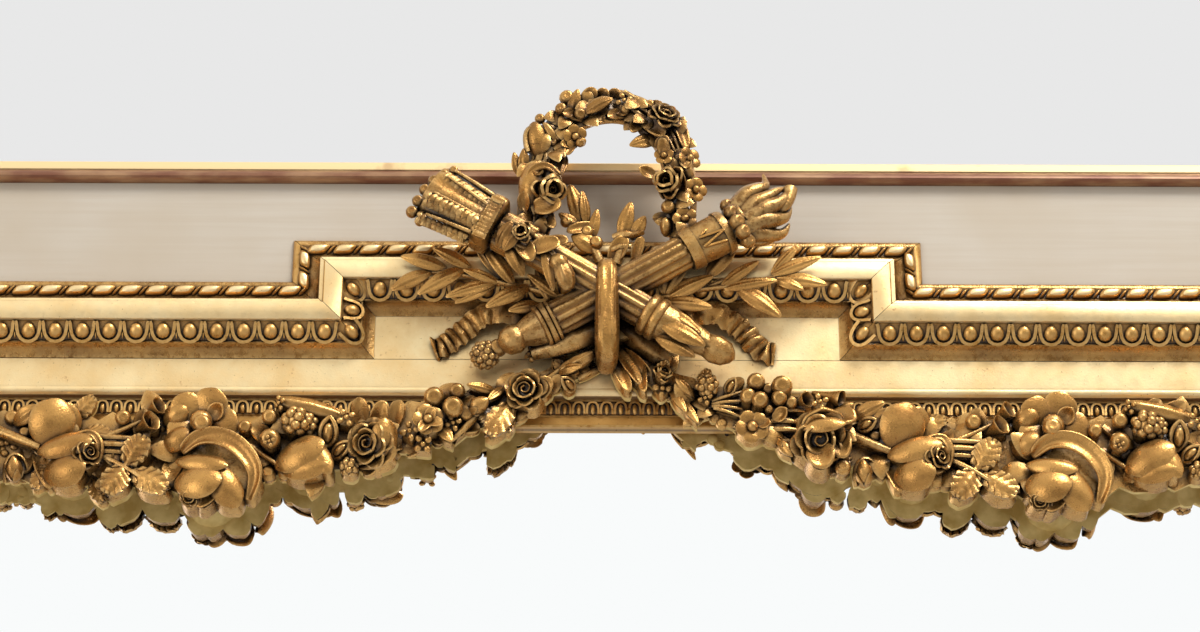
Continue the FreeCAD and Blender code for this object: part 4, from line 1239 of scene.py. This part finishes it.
torchPieces = {
    "flame": [
        ("flame", (735, 226, 42), (780, 208, 44), 34),
        ("lick", 9, (736, 212, 46), (744, 196, 49), (757, 190, 49), (768, 186, 46), (763, 175, 43)),
        ("lick", 8, (744, 218, 50), (752, 204, 53), (766, 198, 53), (778, 190, 50), (786, 188, 46)),
        ("lick", 9, (748, 222, 51), (762, 210, 54), (778, 204, 52), (788, 196, 48), (787, 186, 44)),
        ("lick", 6, (790, 190, 46), (789, 202, 49), (780, 212, 50), (772, 208, 50)),
        ("lick", 9, (746, 228, 50), (762, 220, 53), (778, 220, 49), (788, 216, 45), (791, 208, 42)),
        ("lick", 8.5, (742, 234, 46), (758, 233, 49), (774, 236, 44), (786, 232, 41), (789, 224, 40)),
        ("lick", 7, (740, 236, 42), (752, 240, 44), (768, 242, 42), (778, 238, 40))],
    "gadroons": [
        ("ring", (731, 228, 43), (744, 221, 43.5), 32), ("berry", (727, 206, 48), 5.6, 30),
        ("berry", (731, 213, 55), 6, 30), ("berry", (737, 222, 59), 6.2, 30),
        ("berry", (743, 232, 59), 6, 30), ("berry", (748, 241, 54), 5.6, 30)],
    "cup": [
        ("barrel", (720, 234.5, 43), (727, 230.8, 43.2), 35),
        ("barrel", (724, 232, 43), (692, 248.5, 41.5), 32)],
    "zigzag": [
        ("box", (695, 232, 53), (719, 218, 54), 2), ("box", (719, 218, 55), (700, 236, 58), 2),
        ("box", (699, 238, 58), (725, 229, 59), 2), ("box", (725, 229, 59), (704, 247, 59), 2),
        ("box", (704, 247, 58), (728, 240, 58), 2)],
    "shaft": [
        ("barrel", (696, 246.5, 41.5), (686, 252, 40.8), 33.5),
        ("reeds", (685, 252, 40.5), (608, 294, 36), 27), ("reeds", (612, 291, 36), (555, 320, 30), 28)],
    "foot": [
        ("ring", (556, 320, 30), (548, 324, 29), 33), ("ring", (549, 323.5, 29), (540, 328, 28.5), 33),
        ("taper", (541, 327, 28.5), (519, 336, 27), 28), ("pod", (527, 333, 27), (498, 347, 26), 24)],
    "cone": [("cone", (485, 355, 20), 12, 0, 0, 0, 10), ("berry", (498, 348, 22), 7)],
    "curved pod": [
        ("stem", 10, (608, 328, 18), (588, 336, 24), (562, 347, 24), (534, 353, 16)),
        ("floret", (531, 353, 16), 8, -60, 10)]}
bandPieces = {
    "strap": [("strap", (607, 368, 31), (607, 265, 32), 18.5, 0, 56)]}
leftSprig = {
    "left sprig": [
        ("leaf", (582, 226, 24), (570, 186, 29), 12), ("leaf", (586, 226, 26), (582, 192, 30), 8, 20),
        ("leaf", (580, 230, 24), (559, 214, 28), 9), ("berry", (566, 222, 27), 4.5),
        ("petal", (596, 226, 26), (566, 232, 30), 10), ("leaf", (592, 240, 24), (597, 210, 28), 8),
        ("berry", (587, 232, 28), 5), ("berry", (596, 243, 28), 5.5),
        ("leaf", (597, 252, 24), (572, 236, 28), 14),
        ("stem", 4, (600, 262, 24), (596, 252, 26), (589, 238, 26), (584, 226, 26))]}
rightSprig = {
    "right sprig": [
        ("leaf", (621, 240, 24), (631, 203, 29), 11), ("leaf", (632, 240, 24), (645, 217, 28), 10),
        ("stem", 3.4, (614, 238, 26), (624, 233, 30), (634, 236, 30), (643, 232, 28)),
        ("stem", 3.2, (612, 250, 26), (622, 245, 30), (631, 246, 28)),
        ("petal", (612, 262, 24), (626, 236, 29), 14), ("petal", (634, 262, 24), (642, 236, 28), 9),
        ("stem", 4.5, (616, 264, 24), (619, 254, 26), (623, 244, 27))]}
leftLaurel = {
    "leaves": [
        ("leaf", (446, 269, 24), (402, 257, 27), 11), ("leaf", (470, 268, 24), (434, 249, 28), 10),
        ("leaf", (430, 273, 25), (392, 290, 26), 11.5), ("leaf", (465, 269, 24), (419, 294, 28), 12),
        ("leaf", (498, 283, 25), (464, 270, 29), 8), ("leaf", (495, 283, 25), (447, 297, 29), 10),
        ("leaf", (494, 286, 24), (456, 303, 28), 9), ("leaf", (530, 287, 25), (487, 307, 29), 12),
        ("leaf", (513, 284, 25), (484, 245, 28), 11), ("leaf", (500, 278, 22), (475, 245, 26), 8),
        ("leaf", (560, 298, 25), (528, 275, 29), 8), ("leaf", (540, 306, 22), (509, 311, 27), 10),
        ("leaf", (548, 300, 24), (536, 268, 28), 8)],
    "stems": [
        ("stem", 2.6, (596, 302, 24), (560, 298, 25), (528, 288, 25), (496, 283, 25), (462, 269, 24)),
        ("stem", 2, (500, 284, 24), (470, 276, 25), (440, 272, 25), (426, 272, 24))]}
rightLaurel = {
    "leaves": [
        ("leaf", (664, 294, 25), (657, 254, 29), 11), ("leaf", (666, 294, 25), (689, 251, 29), 12),
        ("leaf", (666, 299, 24), (712, 277, 29), 12), ("leaf", (664, 303, 24), (711, 308, 28), 12),
        ("leaf", (707, 278, 25), (736, 245, 29), 13), ("leaf", (722, 286, 25), (758, 262, 28), 9),
        ("leaf", (725, 289, 25), (776, 281, 29), 9), ("leaf", (737, 288, 25), (780, 317, 28), 13.5),
        ("leaf", (772, 274, 24), (798, 246, 28), 8), ("leaf", (773, 275, 25), (820, 258, 29), 9.5),
        ("leaf", (776, 278, 24), (826, 285, 27), 11), ("leaf", (775, 280, 24), (803, 290, 28), 8.5)],
    "stems": [
        ("stem", 2.6, (622, 304, 24), (664, 298, 25), (700, 289, 25), (738, 286, 25), (775, 277, 25)),
        ("stem", 2, (700, 290, 24), (716, 283, 25), (740, 276, 24))]}
wreathPieces = {
    "lower blossom": [
        ("flower", (529, 234, 38), 9.5, 0, 10), ("petal", (540, 247, 34), (569, 240, 42), 12),
        ("leaf", (522, 252, 30), (540, 262, 38), 10),
        ("stem", 2, (527, 228, 34), (528, 214, 36), (526, 202, 34)),
        ("stem", 2, (533, 230, 36), (536, 216, 38), (536, 204, 36)),
        ("petal", (540, 238, 32), (553, 212, 40), 11)],
    "left rose": [
        ("cup", (544, 192, 41), 16.5, 30, 15, 30), ("shell", (528, 208, 36), (533, 164, 43), 19, -20),
        ("crescent", 6, (527, 190, 42), (531, 172, 45), (546, 166, 47), (560, 176, 46)),
        ("petal", (534, 208, 44), (562, 203, 48), 16, 10)],
    "leaf pair": [
        ("leaf", (519, 176, 30), (514, 153, 36), 7), ("leaf", (524, 174, 32), (524, 149, 38), 8),
        ("leaf", (565, 156, 32), (559, 178, 38), 8),
        ("stem", 2.2, (546, 170, 36), (547, 158, 38), (545, 146, 36))],
    "big petal": [
        ("shell", (538, 159, 34), (534, 122, 42), 16, -20),
        ("stem", 2.4, (528, 152, 38), (524, 138, 40), (529, 126, 42), (538, 125, 42)),
        ("pod", (558, 145, 36), (543, 122, 42), 9), ("berry", (540, 119, 38), 4.2)],
    "star": [
        ("flower", (575, 137, 42), 9.5, 15, 20, 20), ("berry", (580, 143, 44), 3.4, 30, 20),
        ("petal", (572, 146, 38), (560, 144, 44), 8), ("petal", (574, 140, 38), (566, 156, 42), 9)],
    "double bud": [("berry", (567, 98, 38), 6.2), ("berry", (561, 109, 42), 4.8)],
    "curved leaf": [
        ("stem", 1.8, (551, 128, 36), (562, 121, 38), (573, 114, 38)),
        ("stem", 1.8, (555, 133, 40), (566, 124, 42), (577, 117, 40)),
        ("leaf", (571, 116, 36), (578, 90, 42), 9), ("berry", (580, 114, 44), 4.6, 10, 20)],
    "long leaf": [("pod", (584, 113, 40), (612, 98, 44), 13), ("leaf", (585, 113, 44), (612, 99, 48), 9)],
    "top petals": [
        ("petal", (590, 99, 36), (594, 87, 42), 11), ("petal", (602, 99, 36), (606, 88, 42), 11),
        ("petal", (614, 99, 36), (617, 88, 42), 11), ("petal", (594, 114, 38), (604, 123, 42), 10)],
    "floret": [("floret", (624, 101, 44), 7.5, 0, 0, 20), ("berry", (625, 110, 44), 3.5)],
    "bundle": [
        ("stem", 2.1, (624, 92, 38), (637, 98, 40), (650, 110, 38)),
        ("stem", 2.1, (628, 99, 42), (639, 105, 43), (649, 114, 40)),
        ("stem", 2.1, (628, 107, 42), (638, 112, 43), (647, 120, 40)),
        ("stem", 2, (626, 114, 38), (637, 118, 39), (645, 124, 37)), ("berry", (650, 105, 40), 4.2)],
    "right rose": [
        ("rose", (664, 118, 44), 13, 20, -25, 30), ("dish", (656, 128, 36), (676, 108, 44), 17),
        ("petal", (676, 117, 36), (686, 150, 42), 11, -20), ("petal", (646, 122, 38), (664, 137, 46), 14)],
    "inward leaves": [
        ("leaf", (656, 140, 34), (630, 146, 40), 11), ("leaf", (652, 138, 34), (636, 127, 38), 8),
        ("petal", (658, 150, 38), (668, 136, 46), 11)],
    "pale blossom": [
        ("stem", 1.8, (664, 132, 40), (670, 141, 42), (675, 152, 40)),
        ("stem", 1.8, (670, 130, 40), (676, 140, 42), (680, 151, 40)), ("flower", (664, 156, 42), 7.6, -10)],
    "trumpet": [
        ("cup", (672, 184, 42), 15, -25, 10), ("dish", (662, 200, 38), (662, 168, 46), 11, 30),
        ("dish", (684, 200, 38), (676, 166, 46), 13, -30), ("dish", (656, 178, 36), (638, 168, 42), 10)],
    "outer blossom": [("flower", (689, 159, 40), 9.5, 25, 0, 30), ("pod", (690, 180, 38), (687, 160, 42), 8)],
    "low blossom": [
        ("flower", (695, 190, 39), 9.5, 25, 10, 60), ("berry", (668, 207, 40), 5.4),
        ("pod", (666, 237, 34), (665, 217, 40), 8.5)],
    "last blossom": [
        ("flower", (685, 219, 40), 9.5, 0, 10, 20),
        ("stem", 2.2, (680, 206, 36), (690, 214, 37), (694, 226, 34)),
        ("stem", 2.2, (672, 202, 36), (676, 218, 37), (674, 236, 34))]}
wreathLine = [(531, 248, 28), (531, 222, 32), (536, 190, 34), (543, 160, 34), (556, 133, 34), (575, 116, 34),
              (600, 108, 34), (625, 108, 34), (648, 118, 34), (665, 135, 34), (676, 158, 34), (681, 188, 34),
              (680, 214, 32), (678, 242, 28)]
wreathRing = {"middle": (608, 190), "twigs": (-10, -3, 4, 11), "twigRadius": 4.6, "leaves": 130,
              "leaf": (15, 9.5), "berry": 3.8}


def ringFilling():
    # twigs beside the wreath's line, and the small leaves and berries that close it round them
    line, made = wreathLine, []
    for off in wreathRing["twigs"]:
        twig = []
        for x, y, p in line:
            away = (Vector((x, y)) - Vector(wreathRing["middle"])).normalized() * off
            twig.append(seen(x + away.x, y + away.y, p + 1 - 0.3 * abs(off)))
        made.append(rodThrough("twig", twig, [wreathRing["twigRadius"] * mm] * len(line)))
    for k in range(wreathRing["leaves"]):
        t = (k + random.random()) / wreathRing["leaves"] * (len(line) - 1)
        i = min(int(t), len(line) - 2)
        x, y, p = [a + (b - a) * (t - i) for a, b in zip(line[i], line[i + 1])]
        place = seen(x + random.uniform(-12, 12), y + random.uniform(-7, 8), p + random.uniform(-2, 6))
        kind = random.choice(("leaflet", "flake", "leaflet", "berry"))
        if kind == "berry":
            made.append(berryAt(place, wreathRing["berry"]))
        else:
            angle, lean = random.uniform(0, 360), random.uniform(0, 35)
            made.append(laid(kind, place, angle, *wreathRing["leaf"], lean))
    return made


ribbon = {"width": 17, "pleat": 8, "thick": 2.2,
          "left": [(560, 322, 14), (528, 316, 16), (505, 312, 18), (484, 314, 16), (464, 330, 10),
                   (446, 344, 7), (434, 349, 6)],
          "right": [(668, 330, 14), (690, 318, 16), (711, 312, 18), (730, 320, 14), (746, 334, 8),
                    (762, 350, 7), (774, 353, 6)]}


def pleatedRibbon(line):
    # a ribbon tail on its line of (pixel x, pixel y, p), pleated across and standing off the panel
    points = [seen(*place) for place in line]
    length = sum((b - a).length for a, b in zip(points, points[1:]))
    turns = int(length / (ribbon["pleat"] * mm))
    at = along(points)

    def shape(s, t):
        deep = 0.5 + 1.3 * s ** 1.5
        fold = deep * (1.2 * math.sin(math.tau * turns * (s + 0.05 * math.sin(9 * s)) + 0.7 * t)
                       + 0.7 * math.sin(math.tau * turns * 0.41 * s + 2.4 * t))
        sway = deep * 0.7 * math.sin(math.tau * turns * s + 1.2)
        aside = (t * ribbon["width"] / 2 + sway) * mm
        return at(s) + acrossPath(at, s) * aside + outward * ((fold - 2.2 * t * t) * mm)
    return sheet("ribbonTail", turns * 6, 6, shape, ribbon["thick"] * mm, 0)


print("stage: crest pieces ready")
crest = {"wreath": wreathPieces, "quiver": quiverPieces, "torch": torchPieces, "tie_band": bandPieces,
         "sprig_left": leftSprig, "sprig_right": rightSprig,
         "laurel_left": leftLaurel, "laurel_right": rightLaurel}
for name, carving in crest.items():
    pieces = arranged(rowsOf(carving)) + (ringFilling() if name == "wreath" else [])
    carved(name + "_carving", pieces, name, carvedGilding if name.startswith("laurel") else crestGilding)
for side in ("left", "right"):
    carved(f"ribbon_tail_{side}_carving", [pleatedRibbon(ribbon[side])], "ribbon_tail_" + side, crestGilding)
print("stage: crest carved")


def cornerRosette(node):
    # an open rose over a ring of leaves, at the corner of the fascia
    low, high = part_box(node)
    middle, radius = (low + high) / 2, (high.x - low.x) / 2 / mm
    base = Matrix.Translation(Vector((middle.x, high.y, middle.z))) @ facing
    lifted = Matrix.Translation((0, 0, 7 * mm))
    made = [copyOf(masters["rose"], base @ lifted @ Matrix.Scale(0.62 * radius * mm, 4))]
    for i in range(8):
        turn = Matrix.Rotation(math.tau * (i + 0.5) / 8, 4, "Z")
        out = Matrix.Translation((0.34 * radius * mm, 0, 3.5 * mm))
        made.append(copyOf(masters["leaf"], base @ turn @ out @ scaled(0.64 * radius * mm, 10 * mm, 10 * mm)))
    return made


def huskDrop(node, count=6):
    # husks and berries that shrink down the side of the frame, on a carved string
    low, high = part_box(node)
    x, back, top, bottom = (low.x + high.x) / 2, high.y, high.z, low.z
    line = [(x, back - 3 * mm, top), (x, back - 4 * mm, (top + bottom) / 2),
            (x, back - 3 * mm, bottom + 4 * mm)]
    made = [rodThrough("string", line, [1.8 * mm] * 3)]
    for i in range(count):
        size = 13.0 - 8.0 * i / (count - 1)                     # half width of the husk
        place = Vector((x, back - 3.5 * mm, top + (bottom - top) * (i + 0.25) / count))
        down = Matrix.Translation(place) @ facing @ Matrix.Rotation(-math.pi / 2, 4, "Z")
        for turn, width in ((-0.42, 0.62), (0.42, 0.62), (0.0, 0.80)):
            made.append(copyOf(masters["leaf"], down @ Matrix.Rotation(turn, 4, "Z")
                               @ scaled(2.3 * size * mm, width * size * mm, 0.62 * size * mm)))
        for drop, radius in ((2.55, 0.26), (3.0, 0.21)):
            made.append(berryAt(place + Vector((0, -0.15, -drop)) * size * mm, radius * size))
    return made


for side in ("left", "right"):
    carved("corner_rosette_" + side, cornerRosette("rosette_" + side), "rosette_" + side)
    carved("husk_drop_" + side, huskDrop("side_drop_" + side), "side_drop_" + side)
print("stage: corners carved")


# finishes of the nodes that stay as they are
creamRails, creamStiles = paint("creamPaintRails", "x"), paint("creamPaintStiles", "z")
finishes = {"bare_pine": wood("agedPine", "#b98f5c", "#87613a", 4.5, (0.04, 1, 1)),
            "oak_pegs": wood("oakPeg", "#a07a4c", "#6d4c2b", 1.6, (1, 0.04, 1)),
            "mirror_glass": mirrorGlass(), "gilt_carving": carvedGilding, "gilt_moulding": flatGilding,
            "gilt_bead": beadGilding, "steel_plate": metalWork("rolledSteel", "#8e8f90", "#5c5048", 0.42),
            "iron_fixings": metalWork("forgedIron", "#5d5a57", "#55392a", 0.55)}
for part in frame["record"]["subparts"]:
    name = part["node"]
    finish = finishes.get(part["material_slot"]) or (creamRails if name.startswith("rail") else creamStiles)
    nodes[name].data.materials.clear()
    nodes[name].data.materials.append(finish)
print("stage: nodes finished")

# soft studio light
light = {"key": ((1.7, -2.3, 4.2), 1.5, 170), "fill": ((-3.6, -3.4, 0.4), 2.6, 50),
         "back": ((0.5, 3.0, 2.2), 3.0, 60)}
for name, (place, size, power) in light.items():
    bpy.ops.object.light_add(type="AREA", location=place)
    lamp = bpy.context.object
    lamp.name = name + "Light"
    lamp.data.size = size
    lamp.data.energy = power
    lamp.rotation_euler = (Vector((0, 0, 0.6)) - Vector(place)).to_track_quat("-Z", "Y").to_euler()

pick()
bpy.ops.mesh.primitive_plane_add(size=60, location=(0, 0, outerLow.z - 0.002))
floor = bpy.context.object
floor.name = "studioFloor"
floorLook = newMaterial("paleFloor")
shader = add(floorLook, "BsdfPrincipled", {"Base Color": srgb("#dcdcde"), "Roughness": 0.8})
add(floorLook, "OutputMaterial", {"Surface": shader})
floor.data.materials.append(floorLook)

world = bpy.data.worlds.new("paleStudio")
bpy.context.scene.world = world
world.use_nodes = True
world.node_tree.nodes.clear()
rays = add(world, "LightPath").node
direct = add(world, "Math", {0: rays.outputs["Is Camera Ray"], 1: rays.outputs["Is Glossy Ray"]},
             operation="MAXIMUM")
direct = add(world, "Math", {0: direct, 1: rays.outputs["Is Transmission Ray"]}, operation="MAXIMUM")
strength = add(world, "MapRange", {"Value": direct, "To Min": 0.42, "To Max": 1.0})
aim = add(world, "SeparateXYZ", {0: add(world, "TexCoord").node.outputs["Generated"]}).node
level = add(world, "MapRange", {"Value": aim.outputs["Z"], "From Min": -0.35, "From Max": 0.2})
room = add(world, "Mix", {0: level, 6: srgb("#6f6559"), 7: srgb("#fcfdfd")}, data_type="RGBA")
pale = add(world, "Mix", {0: rays.outputs["Is Camera Ray"], 6: room, 7: srgb("#e8e8e8")},
           data_type="RGBA")
air = add(world, "Background", {"Color": pale, "Strength": strength})
add(world, "OutputWorld", {"Surface": air})

bpy.context.scene.view_settings.view_transform = "Standard"
